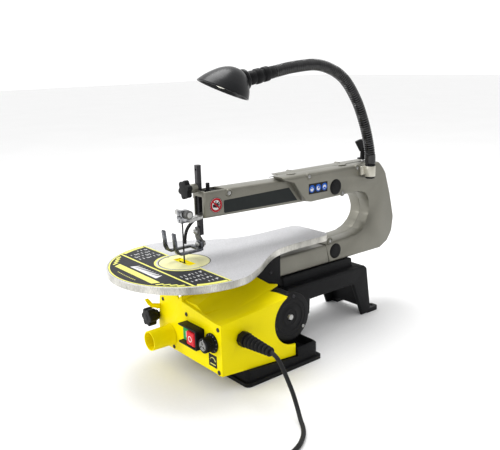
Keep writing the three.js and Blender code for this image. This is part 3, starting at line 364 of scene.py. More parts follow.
def spline(points, step):
    """Points every step mm along a centripetal Catmull-Rom curve through the given ones."""
    p = [Vector(q) for q in points]
    p = [2 * p[0] - p[1], *p, 2 * p[-1] - p[-2]]
    fine = []
    for i in range(1, len(p) - 2):
        a, b, c, d = p[i - 1:i + 3]
        t1 = (b - a).length ** 0.5
        t2 = t1 + (c - b).length ** 0.5
        t3 = t2 + (d - c).length ** 0.5
        for k in range(40):
            t = t1 + (t2 - t1) * k / 40
            a1 = a * (t1 - t) / t1 + b * t / t1
            a2 = b * (t2 - t) / (t2 - t1) + c * (t - t1) / (t2 - t1)
            a3 = c * (t3 - t) / (t3 - t2) + d * (t - t2) / (t3 - t2)
            b1 = a1 * (t2 - t) / t2 + a2 * t / t2
            b2 = a2 * (t3 - t) / (t3 - t1) + a3 * (t - t1) / (t3 - t1)
            fine.append(b1 * (t2 - t) / (t2 - t1) + b2 * (t - t1) / (t2 - t1))
    fine.append(p[-2])
    out, along, target = [fine[0]], 0.0, step
    for a, b in zip(fine, fine[1:]):
        length = (b - a).length
        while along + length >= target and length > 0:
            out.append(a.lerp(b, (target - along) / length))
            target += step
        along += length
    out.append(fine[-1])
    return out


def flowing(points, step):
    """The same curve for a flat outline or a turned profile."""
    return [(q.x, q.y) for q in spline([(u, v, 0) for u, v in points], step)]


def tube(points, radius, sides=24):
    """A closed tube through points (mm); radius is a function of the distance along it."""
    verts, along = [], 0.0
    direction = (points[1] - points[0]).normalized()
    side = direction.orthogonal().normalized()
    for i, q in enumerate(points):
        if i:
            along += (q - points[i - 1]).length
            direction = (points[min(i + 1, len(points) - 1)] - points[i - 1]).normalized()
        side = (side - direction * side.dot(direction)).normalized()
        other = direction.cross(side)
        for k in range(sides):
            a = 2 * math.pi * k / sides
            verts.append(at(*(q + (side * math.cos(a) + other * math.sin(a)) * radius(along))))
    return mesh_from(verts, ring_faces(len(points), sides))


# ---------------------------------------------------------------- camera
AZIMUTH, ELEVATION, ROLL = math.radians(51.34), math.radians(14.35), math.radians(-1.62)
CAMERA_AT = (831.47, -531.31, 483.09)
LENS = 47.08


def make_camera():
    """Looks from the front right, a little above."""
    azimuth, elevation, roll = AZIMUTH, ELEVATION, ROLL
    level = math.cos(elevation)
    back = Vector((math.sin(azimuth) * level, -math.cos(azimuth) * level, math.sin(elevation)))
    right = Vector((math.cos(azimuth), math.sin(azimuth), 0))
    up = back.cross(right)
    x = right * math.cos(roll) + up * math.sin(roll)
    y = up * math.cos(roll) - right * math.sin(roll)
    data = bpy.data.cameras.new("camera")
    data.sensor_width = 36
    data.lens = LENS
    data.clip_end = 60
    cam = bpy.data.objects.new("camera", data)
    turn = Matrix((x, y, back)).transposed().to_4x4()
    cam.matrix_world = Matrix.Translation(at(*CAMERA_AT)) @ turn
    bpy.context.scene.collection.objects.link(cam)
    bpy.context.scene.camera = cam


make_camera()


# ---------------------------------------------------------------- mains lead
CORD_D = 6.4
LEAD_START = (174.4, 18.5, 79.5)
COIL_AT = (350, -95)
PLUG_Y, PLUG_Z = -168, 18.2


def lead_route():
    """Out of the strain relief, down to the floor, round a neat coil and into the plug."""
    low = CORD_D / 2 + 0.3
    start = spline([LEAD_START, (184, 18.5, 79.5), (196, 18.8, 75), (206, 19.4, 64), (216, 20, 49),
                    (227, 19.6, 33), (238, 17, 18), (251, 11, 7), (266, 2, low + 0.05),
                    (280, -12, low), (291, -30, low), (297.6, -52, low), (300.2, -75, low),
                    (300.5, -94, low)], 4)
    # Each turn keeps to one place in the coil's section, then shifts to the next one over 60
    # degrees, a little earlier on every turn so that the strands never meet.
    step = CORD_D + 0.2
    outer = 49.5
    inner = outer - step
    places = [(outer, low), (inner, low), (inner, low + step), (outer, low + step),
              (outer, low + 2 * step), (inner, low + 2 * step), (outer, low + 3 * step)]
    coil = []
    for turned_by in range(0, 1801, 8):
        k = max(0, min(5, (turned_by + 60) // 300))
        shift_start = 300 * k + 240
        before, after = places[k], places[k + 1]
        t = max(0.0, min(1.0, (turned_by - shift_start) / 60))
        t = t * t * (3 - 2 * t)
        r, z = before[0] + (after[0] - before[0]) * t, before[1] + (after[1] - before[1]) * t
        coil.append(Vector((*polar(*COIL_AT, r, 180 + turned_by), z)))
    end = spline([coil[-1], (300.6, -112, 22.8), (302, -134, 20), (308, -152, 18.4),
                  (320, -164.4, 17.4), (334, PLUG_Y, PLUG_Z), (340, PLUG_Y, PLUG_Z)], 4)
    return start[:-1] + coil + end[1:]


def make_lead():
    route = lead_route()
    cu = bpy.data.curves.new("lead", "CURVE")
    cu.dimensions = "3D"
    cu.bevel_depth = CORD_D / 2 * 0.001
    cu.bevel_resolution = 6
    cu.use_fill_caps = True
    sp = cu.splines.new("POLY")
    sp.points.add(len(route) - 1)
    for q, p in zip(sp.points, route):
        q.co = (*at(*p), 1)
    cu.materials.append(RUBBER)
    lead = bpy.data.objects.new("mains_lead", cu)
    bpy.context.scene.collection.objects.link(lead)
    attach(lead, "frame")
    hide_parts("cord", "cord_coil")
    body = [(0.01, 0), (4.4, 0), (4.7, 2), (5.0, 5), (4.7, 6), (5.4, 8), (5.6, 11), (5.2, 12),
            (6.0, 14), (6.4, 18), (9, 20.5), (12, 24), (14, 28), (15.5, 34), (17.3, 44), (17.9, 50),
            (17.9, 56.6), (17.2, 57.8), (13, 58), (0.01, 58)]
    plug = piece("plug_body", lathe(body, (330, PLUG_Y, PLUG_Z), (1, 0, 0), 48), RUBBER, "frame",
                 ["plug"])
    pin = [(0.01, 387), (2.4, 387), (2.4, 402.4), (2.2, 404.4), (1.5, 405.6), (0.01, 406)]
    pins = [piece(f"plug_pin_{n}", lathe(pin, (0, PLUG_Y + s, PLUG_Z), (1, 0, 0), 24), STEEL, "frame") for n, s in enumerate((-9.5, 9.5))]
    relief = [(8.9, 0), (8.9, 13), (8.4, 13.4), (7.9, 14)]
    for k in range(6):
        x, r = 14.6 + 7.6 * k, 10.6 - 0.6 * k
        relief += [(r - 2.2, x), (r - 0.7, x + 0.9), (r, x + 1.8), (r, x + 4.2),
                   (r - 0.8, x + 5.3), (r - 2.4, x + 6.2)]
    relief += [(6.6, 60.4), (7, 61), (7, 63.8), (6.2, 65.2), (3.45, 65.2), (3.45, 56), (0.01, 56)]
    boot = lathe([(0.01, 0), *relief], (118.3, 18.5, 79.5), (1, 0, 0), 48)
    nut = lathe([(0.01, 0), (11.2, 0), (12, 0.8), (12, 11.6), (11.2, 12.4), (0.01, 12.4)],
                (118.4, 18.5, 79.5), (1, 0, 0), 8)
    piece("strain_relief_boot", boot, PLASTIC, "frame", ["strain_relief"])
    piece("strain_relief_nut", nut, PLASTIC, "frame")


make_lead()


# ---------------------------------------------------------------- CAD nodes that keep their shape
dress("base", BLACK, 1.4, 3, 30)
dress("housing_right housing_left lower_housing", SILVER, 0.8, 3, 34)
dress("front_arm", SILVER, 0.7, 3, 34)
dress("motor_cover", YELLOW, 0.8, 3, 30)
dress("cap_upper_right cap_upper_left cap_lower_right cap_lower_left", PLASTIC, 0.4)
dress("upper_arm lower_arm pivot_pin_upper pivot_pin_lower rotor crank tension_rod", STEEL, 0.4)
dress("connecting_rod upper_clamp_screw lower_clamp_screw hold_rod", DARK, 0.4, 2, 46)
dress("foot_bracket", GREY_STEEL, 0.4, 2, 46)
dress("upper_clamp lower_clamp", CHROME, 0.6, 3, 34)
dress("blade", DARK, 0.0)
dress("motor_can", BLACK, 0.5)
dress("switch_hood", PLASTIC, 0.5)
dress("table_quadrant table_shoe saddle lock_bracket side_plate", BLACK, 0.5)
dress("lamp_bracket", CREAM, 0.5)
dress("tilt_pointer", YELLOW, 0.4)
dress("foot_bolt fork_bolt", STEEL, 0.35, 2, 50)
# The fork's darker chrome is a painted dark reflection.
dress("foot_fork", FORK_CHROME_PAINTED_DARK, 0.6, 3, 40)
dress("speed_dial head_cap hose_clip lamp_stud", PLASTIC, 0.35)
dress("tension_knob", PLASTIC, 0.8, 3, 40)
dress("on_button", GREEN, 1.6, 4, 50)
dress("off_button", RED, 2.0, 4, 50)
dress("table_insert", PALE, 0.3)


# ---------------------------------------------------------------- table
SIDE = [(TABLE_R, ARC_Y), (126.2, 22), (122.4, 34), (116.5, 46), (109, 59), (100.2, 73),
        (90.5, 87), (80.5, 101), (70.5, 116), (61.6, 131), (54.8, 147), (50.4, 164), (48, 182),
        (47, 202), (47, 230), (47, 262)]
TAIL_X, TAIL_Y, TAIL_R = 28, 262, 19          # centre and radius of the tail's rounded corner


def table_outline(inset=0.0):
    """Front arc, waisted sides and a rounded tail, as fine as the real milled edge."""
    arc = [polar(0, ARC_Y, TABLE_R - inset, a) for a in range(-180, 1, 3)]
    side = [(x - inset, y) for x, y in flowing(SIDE, 5)][1:]
    corner = [polar(TAIL_X, TAIL_Y, TAIL_R - inset, a) for a in range(6, 91, 6)]
    half = side + corner
    return arc + half + [(-x, y) for x, y in reversed(half)]


def make_table():
    plate = loops_mesh([table_outline()], "z", 165, TABLE_TOP, 0.7, 3)
    under = loops_mesh([table_outline(5)], "z", 158, 169)
    seat = lathe([(40.4, 172.7), (40.4, 190)], (0, 0, 0), (0, 0, 1), 96)
    through = lathe([(36, 150), (36, 190)], (0, 0, 0), (0, 0, 1), 96)
    me = boolean(plate, under, seat, through)
    piece("table_plate", me, TABLE, "tilting_table", ["table"])
    # The milled rim is brighter than the ground face.
    me.materials.append(RIM)
    for f in me.polygons:
        on_edge = abs(f.normal.z) < 0.85 and 164 < f.center.z * 1000 < TABLE_TOP + 0.1
        from_blade = Vector((f.center.x, f.center.y - SHIFT_Y * 0.001)).length
        if on_edge and from_blade > 0.045:
            f.material_index = 1


def table_film(loops, level):
    """A film on the table, level steps of 0.05 mm above its face."""
    return loops_mesh(loops, "z", TABLE_TOP - 0.1, TABLE_TOP + (0.03 + 0.05 * level))


def printed(name, loops, material, level):
    piece(name, table_film(loops, level), material, "tilting_table")


def chord(r, y):
    """Half the width, at a Y, of a circle about the centre of the table's round front."""
    return math.sqrt(max(0.0, r * r - (y - ARC_Y) ** 2))


def band(y0, y1, r, n=6):
    """A strip across the table between two Y values, ending on the arc of radius r."""
    ys = [y0 + (y1 - y0) * k / n for k in range(n + 1)]
    return [(chord(r, y), y) for y in ys] + [(-chord(r, y), y) for y in reversed(ys)]


def marks(name, spots, material, level):
    """Many small rectangles in one printed piece: (x, y, width, height) each."""
    parts = [table_film([rect(x - w / 2, x + w / 2, y - h / 2, y + h / 2)], level)
             for x, y, w, h in spots]
    piece(name, join_meshes(name, parts), material, "tilting_table")


def rim_point(degrees, r):
    return polar(0, ARC_Y, r, degrees)


def rim_strip(start, end, outer, inner, count=40):
    """A strip along the table's round front, between two angles and two radii."""
    angles = [start + (end - start) * k / count for k in range(count + 1)]
    return [rim_point(a, outer) for a in angles] + [rim_point(a, inner) for a in reversed(angles)]


def make_table_print():
    # The black field fills the front arc up to Y = 0, around the insert.
    r = 124.6
    a0 = math.degrees(math.asin(ARC_Y / r))
    front = [rim_point(-180 + a0 + (180 - 2 * a0) * k / 90, r) for k in range(91)]
    notch = [polar(0, 0, 47.5, t) for t in range(0, -181, -4)]
    printed("field_black", [front + notch], PRINT_BLACK, 0)
    # Yellow lines: round the rim, along the top edge, across the middle and round the insert.
    printed("line_rim", [rim_strip(a0 - 178.6, -a0 - 1.4, 124, 121.6, 90)], PRINT_YELLOW, 1)
    for s, tag in ((1, "right"), (-1, "left")):
        edge = [(s * 47.5, -3), (s * chord(122.4, -3), -3), (s * chord(124, -0.3), -0.3), (s * 47.5, -0.3)]
        printed(f"line_top_{tag}", [edge], PRINT_YELLOW, 2)
        start, end = (-28, -6) if s > 0 else (-174, -152)
        printed(f"rim_block_{tag}", [rim_strip(start, end, 122, 116)], PRINT_YELLOW, 2)
    ring = circle(0, 0, 47.6, 60, -180, 0) + circle(0, 0, 44.4, 60, -180, 0)[::-1]
    printed("line_insert", [ring], PRINT_YELLOW, 2)
    printed("line_middle", [band(-55.6, -52.4, 122)], PRINT_YELLOW, 2)
    # The wide stripe near the operator, with slanted bars at both ends.
    printed("stripe", [[(-55, -92.5), (55, -92.5), (60, -81), (-60, -81)]], PRINT_YELLOW, 2)
    for s, tag in ((-1, "left"), (1, "right")):
        for k in range(4):
            x, low = 62 + 8.4 * k, -90.5 + 6.4 * k
            bar = [(s * x, low), (s * (x + 4.2), low), (s * (x + 8.4), low + 10),
                   (s * (x + 4.2), low + 10)]
            printed(f"bar_{tag}_{k}", [bar], PRINT_YELLOW, 2)
    # Small saw-tooth picture in the middle, and columns of tick marks.
    teeth = []
    for k in range(9):
        x = -31.5 + 7.9 * k
        teeth += [(x - 3.9, -74), (x + 2.6, -62.5), (x + 3.4, -62.5)]
    printed("saw_teeth", [[(-36, -76), *teeth, (39.5, -74), (39.5, -76)]], PRINT_WHITE, 2)
    spots = []
    for s in (-1, 1):
        for col in range(4):
            x0 = s * (60 + 14 * col)
            for row in range(6):
                y = -12 - 6.6 * row
                if abs(x0) + 6 < chord(113, y):
                    w = 7.5 - (row * 5 + col * 3) % 4
                    spots.append((x0, y, w, 1.1))
                    if (row + col) % 3 == 0:
                        spots.append((x0 - s * 1.5, y + 2.4, 3.4, 2.0))
    marks("table_marks", spots, PRINT_WHITE, 2)
    small = [(x, -102.5 + 0.0012 * x * x, 3.0, 1.2) for x in range(-26, 27, 5)]
    marks("front_marks", small, PRINT_YELLOW, 2)
    # The insert's yellow recess and its floor open round the blade; a black sheet in the blade slot and a
    # black ring round the insert are painted shade.
    slot = rect(-16.4, 3.9, -1.7, 1.7)
    floor = loops_mesh([rect(-21.7, 21.7, -6.7, 6.7), slot[::-1]], "z", 173.3, 173.7)
    piece("recess_floor", floor, YELLOW, "tilting_table")
    sides = loops_mesh([rect(-21.95, 21.95, -6.95, 6.95), rect(-21.5, 21.5, -6.5, 6.5)[::-1]],
                       "z", 173.3, 175.75)
    piece("recess_sides", sides, YELLOW, "tilting_table")
    # A thin black sheet lining the blade slot: painted shade inside the slot.
    liner = loops_mesh([rect(-16.45, 3.95, -2.35, 2.35), rect(-16.2, 3.7, -2.1, 2.1)[::-1]],
                       "z", 171, 173.3)
    piece("slot_painted_shade", liner, PRINT_BLACK, "tilting_table")
    # Painted shade: a black ring printed where the gap round the insert lies in shade.
    printed("insert_gap_painted_shade", [circle(0, 0, 41.5, 72), circle(0, 0, 40.45, 72)[::-1]], PRINT_BLACK, 0)


make_table()
make_table_print()


# ---------------------------------------------------------------- lamp
BALL = Vector((38.6, 114, 453.2))
HUB_DIR = Vector((0, -0.985, -0.17)).normalized()
MOUTH = Vector((38.6, 58.1, 437.7))
MOUTH_UP = Vector((0.141, 0.384, 0.913)).normalized()
MOUTH_BACK = (Vector((0, 1, 0)) - MOUTH_UP * MOUTH_UP.y).normalized()
SHADE_LEAN = 0.285


def in_shade(back, up):
    """A point so far back from the middle of the mouth, and so far up."""
    return MOUTH + MOUTH_BACK * back + MOUTH_UP * up


def dome(profile, sides=96):
    """A turned dome whose axis leans back towards the hub; profile is (radius, height) pairs."""
    side = MOUTH_UP.orthogonal().normalized()
    other = MOUTH_UP.cross(side)
    verts = []
    for r, t in profile:
        for k in range(sides):
            a = 2 * math.pi * k / sides
            out = (side * math.cos(a) + other * math.sin(a)) * r
            verts.append(at(*(in_shade(SHADE_LEAN * t, t) + out)))
    return mesh_from(verts, ring_faces(len(profile), sides))


def make_lamp():
    route = [(391, 288.8), (389.6, 306), (384, 330), (372, 364), (350.5, 406), (314, 447),
             (262, 467.5), (205, 467), (158, 460.5)]
    points = spline([(38.6, y, z) for y, z in route], 0.6)
    total = sum((b - a).length for a, b in zip(points, points[1:]))
    pitch = 4.3

    def radius(s):
        if s < 17:
            return 9.9 if 1 < s < 16 else 9.4
        if s > total - 1:
            return 8.6
        phase = (s % pitch) / pitch
        return 9.6 - 1.9 * max(0.0, abs(phase - 0.5) * 2 - 0.4) / 0.6

    piece("gooseneck_ribs", tube(points, radius, 32), GLOSSY, "lamp",
          ["lamp_neck"])
    back = Vector((38.6, 157.6, 460.4))
    reach = (BALL - back).length
    collar = [(0.01, 0), (9.2, 0), (9.8, 1), (9.7, 10.6), (11, 11.4), (11.6, 12.4), (11.6, 20.2),
              (11, 21.2), (9.6, 22), (9.5, 26.6), (11.2, 27.4), (11.9, 28.6), (11.9, 36),
              (11.2, 37.2), (10.2, 38.2)]
    collar += [(11 * math.sin(math.radians(a)), reach - 11 * math.cos(math.radians(a)))
               for a in range(64, 177, 8)]
    piece("lamp_ball_collar", lathe([*collar, (0.01, reach + 11)], back, BALL - back, 48), PLASTIC, "lamp",
          ["lamp_collar"])

    outer = flowing([(41.1, 0.9), (40.2, 3), (38, 8), (35.4, 13), (31.8, 18.5), (27.6, 24),
                     (22.5, 29.5), (16.5, 34), (9, 37.4), (0.01, 38.6)], 1.4)
    inner = flowing([(39.1, 0.8), (38.2, 3), (36, 8), (33.4, 13), (29.8, 18.2), (25.6, 23.4),
                     (20.6, 28.4), (15, 32.4), (8, 35.4), (0.01, 36.5)], 1.4)
    hub = lathe([(0.01, 11.5), (12, 11.5), (14, 11.8), (15.4, 12.5), (16.2, 13.6), (16.4, 14.6),
                 (16.4, 16), (16, 17.2), (15.2, 18), (14.2, 18.8), (14, 20), (14, 34), (0.01, 34)],
                BALL, HUB_DIR, 64)
    hood = boolean(dome([(0.01, 0), (40.6, 0), (41, 0.3), *outer]), hub, operation="UNION")
    hood = boolean(hood, dome([(0.01, -1), (39.7, -1), (39.6, 0.1), (39.3, 0.5), *inner]))
    piece("shade_hood", hood, SATIN, "lamp_head", ["lamp_shade"])
    # The bulb stands in a socket that bends down a little from the hub.
    root, tip = in_shade(31, 22), in_shade(19, 19)
    aim = (in_shade(18.03, 18.76) - tip).normalized()
    start = BALL + HUB_DIR * 13
    inwards = in_shade(27, 21) - start
    arm = lathe([(0.01, 0), (8.5, 0), (8.5, inwards.length), (0.01, inwards.length)], start,
                inwards, 40)
    neck = (tip - root).length
    cup = lathe([(0.01, 0), (8.5, 0), (8.5, neck), (9.4, neck + 1), (10.2, neck + 9),
                 (10.9, neck + 10), (10.9, neck + 12), (0.01, neck + 12)], root, tip - root, 48)
    piece("bulb_socket", join_meshes("s", [arm, cup]), PLASTIC, "lamp_head")
    glass = flowing([(9.4, 10), (10.4, 14), (11.5, 20), (11.6, 26), (9.6, 33), (5.6, 38),
                     (0.01, 40)], 1.2)
    piece("bulb_glass", lathe([(0.01, 10), *glass], tip, aim, 48), BULB, "lamp_head",
          ["lamp_bulb"])
    ring = lathe([(9.0, 283.9), (9.4, 284.3), (9.4, 286.6), (9.0, 287.2), (5, 287.3), (5, 283.9),
                  (9.0, 283.9)], (38.6, 391, 0), (0, 0, 1), 48)
    piece("lamp_base_ring", ring, PLASTIC, "lamp")


make_lamp()


# ---------------------------------------------------------------- small helpers for fittings
def place(mesh, point, direction, spin=0.0):
    """Moves a mesh made about the origin along +Z (in metres) to a point, facing direction."""
    d = Vector(direction).normalized()
    turn = Vector((0, 0, 1)).rotation_difference(d).to_matrix().to_4x4()
    mesh.transform(Matrix.Translation(at(*point)) @ turn @ Matrix.Rotation(math.radians(spin), 4, "Z"))
    return mesh


def local_lathe(profile, sides=32):
    """A lathe about the origin along +Z."""
    return lathe(profile, (0, -SHIFT_Y, 0), (0, 0, 1), sides)


def cross_screw(r=3.4, rise=1.7):
    """A pan-head screw with a cross recess, head flat at z = 0."""
    head = local_lathe([(0.01, -0.6), (r, -0.6), (r, 0.3), (r * 0.93, rise * 0.55), (r * 0.72, rise * 0.88),
                        (r * 0.4, rise), (0.01, rise)], 28)
    arms = []
    for a in (0, 90):
        half_width, half_length = r * 0.13, r * 0.62
        bm = bmesh.new()
        bmesh.ops.create_cube(bm, size=1)
        for v in bm.verts:
            v.co = Vector((v.co.x * 2 * half_length, v.co.y * 2 * half_width,
                           v.co.z * 1.6 + rise + 0.1)) * 0.001
        me = bpy.data.meshes.new("arm")
        bmesh.ops.rotate(bm, verts=bm.verts, cent=(0, 0, 0),
                         matrix=Matrix.Rotation(math.radians(a), 3, "Z"))
        bm.to_mesh(me)
        bm.free()
        arms.append(me)
    return boolean(head, *arms)


def ring_boss(r, rise, inner=None):
    """A low round pad, dished inside when inner is given."""
    if inner:
        return local_lathe([(0.01, -0.8), (r + 0.8, -0.8), (r + 0.6, 0), (r, rise * 0.7),
                            (r - 0.5, rise), (inner + 0.4, rise), (inner, rise - 0.5),
                            (inner - 0.2, rise - 1.2), (0.01, rise - 1.2)], 40)
    return local_lathe([(0.01, -0.8), (r + 0.8, -0.8), (r + 0.5, 0), (r, rise * 0.7), (r - 0.6, rise),
                        (0.01, rise)], 40)


def film(name, loops, material, axis, face, side, level=0):
    """A printed film on a face across an axis: side is +1 or -1, the way the face looks."""
    lift = 0.04 + 0.05 * level
    lo, hi = (face - 0.1, face + lift) if side > 0 else (face - lift, face + 0.1)
    piece(name, loops_mesh(loops, axis, lo, hi), material, "frame")


# ---------------------------------------------------------------- arm and C-frame
def make_arm():
    # Dark side panels, ending in a slanted step at the C-frame.
    for s, tag in ((1, "right"), (-1, "left")):
        panel = loops_mesh([[(68.5, 246.4), (70, 245.2), (227, 241.4), (207.5, 266.3), (70, 265.8),
                             (68.5, 264.6)]], "x", *((16.6, 17.35) if s > 0 else (-17.35, -16.6)))
        piece(f"arm_panel_{tag}", panel, PANEL, "frame")
    # Warning sign: keep hands away. A ring with a bar across a plain dark hand shape.
    c = (53.5, 260.6)
    film("sign_edge", [circle(*c, 12.4, 64)], PRINT_BLACK, "x", 17, 1, 0)
    film("sign_field", [circle(*c, 11.6, 64)], PRINT_WHITE, "x", 17, 1, 1)
    film("sign_ring", [circle(*c, 11.3, 64), circle(*c, 7.9, 64)[::-1]], PRINT_RED, "x", 17, 1, 4)
    bar = turned(c, -45, rect(-9, 9, -1.3, 1.3))
    film("sign_bar", [bar], PRINT_RED, "x", 17, 1, 3)
    hand = [(-5.4, -2.4), (1.2, -3.4), (2.6, -2.2), (6.2, -2.8), (6.4, -1.4), (3.0, -0.8),
            (6.8, 0.2), (6.6, 1.6), (2.8, 0.8), (5.6, 3.2), (4.6, 4.2), (0.8, 1.8), (0.4, 5.6),
            (-1.0, 5.4), (-1.4, 1.6), (-5.6, 1.2)]
    hand = [(c[0] + 1.18 * p, c[1] + 1.25 * q) for p, q in hand]
    film("sign_hand", [hand], PRINT_BLACK, "x", 17, 1, 2)
    # Screw in its round seat at the front of the arm.
    piece("arm_screw_seat", place(ring_boss(6.2, 1.5, 4.6), (17, 79.5, 276.2), (1, 0, 0)), SILVER, "frame")
    piece("arm_screw", place(cross_screw(3.6, 1.8), (17, 79.5, 276.2), (1, 0, 0), 20), STEEL,
          "frame")
    # Four screws on each side hold the halves of the C-frame; the top two stand on round posts.
    for n, (y, z, r) in enumerate(((245.3, 281.4, 6), (368.3, 281.3, 6), (328.8, 240.3, 5.2),
                                   (296.8, 155.6, 6.2))):
        for side, tag in ((1, "right"), (-1, "left")):
            if z > 250:
                boss = local_lathe([(0.01, -9.8), (r, -9.8), (r, -0.7), (r - 0.6, 0), (4, 0), (3.8, -0.6),
                                    (0.01, -0.6)], 40)
            else:
                boss = ring_boss(r, 0.9, r - 1.6)
            face = 28.6 if z > 250 else 28
            piece(f"frame_pad_{n}_{tag}", place(boss, (face * side, y, z), (side, 0, 0)), SILVER, "frame")
            screw = place(cross_screw(3.2, 1.7), (28.1 * side, y, z), (side, 0, 0), 25 + 40 * n)
            piece(f"frame_screw_{n}_{tag}", screw, STEEL, "frame")
    # Low oval pads on top.
    for n, y in enumerate((221, 349)):
        oval = [(8 + 5.4 * math.cos(math.radians(a)), y + 9.5 * math.sin(math.radians(a)))
                for a in range(0, 360, 10)]
        piece(f"top_pad_{n}", loops_mesh([oval], "z", 286.6, 288.2, 0.6, 3), SILVER, "frame")
    # Label with three blue pictograms: eyes, ears and breathing protection, as plain shapes.
    label = [(244, 250), (290, 249.4), (290, 267.8), (244, 268.4)]
    film("label_field", [label], PRINT_BLACK, "x", 28, 1, 0)
    for n, y in enumerate((251.8, 267.2, 282.4)):
        film(f"label_round_{n}", [circle(y, 259, 6.6, 40)], PRINT_BLUE, "x", 28, 1, 1)
        film(f"label_head_{n}", [circle(y, 258.4, 3.9, 28)], PRINT_WHITE, "x", 28, 1, 2)
        mark = ([(y - 4, 259.6), (y + 4, 259.6), (y + 4, 261.4), (y - 4, 261.4)],
                circle(y + 1.2, 259.6, 2.0, 20),
                [(y - 3, 255.4), (y + 3, 255.4), (y + 2.2, 258.4), (y - 2.2, 258.4)])[n]
        film(f"label_mark_{n}", [mark], PRINT_BLUE, "x", 28, 1, 3)
    # The joint between the halves, filled by a dark bead just below the surface.
    seam = [(178, 286.6), (300, 286.4), (420, 285.6), (433, 282.8), (443, 270.5), (452, 254), (463, 220),
            (470, 196), (474.6, 172), (472.4, 152), (469, 140), (459, 127.6), (448, 121)]
    path = spline([(0, y, z - 0.5) for y, z in seam], 3)
    piece("frame_seam", tube(path, lambda s: 0.5, 8), RUBBER, "frame")
    # Screws of the side plate.
    for n, (y, z) in enumerate(((150.5, 151), (150.5, 130))):
        screw = place(cross_screw(3.0, 1.6), (31.5, y, z), (1, 0, 0), 15 + 30 * n)
        piece(f"plate_screw_{n}", screw, DARK, "frame")
    # A shallow moulded ring on each pivot cap.
    for s, tag in ((1, "right"), (-1, "left")):
        for z, t in ((254, "upper"), (134.4, "lower")):
            ring = local_lathe([(9.4, -0.4), (9.4, 0.3), (8.9, 0.5), (8.4, 0.3), (8.4, -0.4),
                                (9.4, -0.4)], 40)
            piece(f"cap_ring_{t}_{tag}", place(ring, (29.3 * s, 311, z), (s, 0, 0)), PLASTIC, "frame")


make_arm()


# ---------------------------------------------------------------- cover, motor and controls
KNOB_AT = (95, 76)          # X and Z of the speed knob's axis


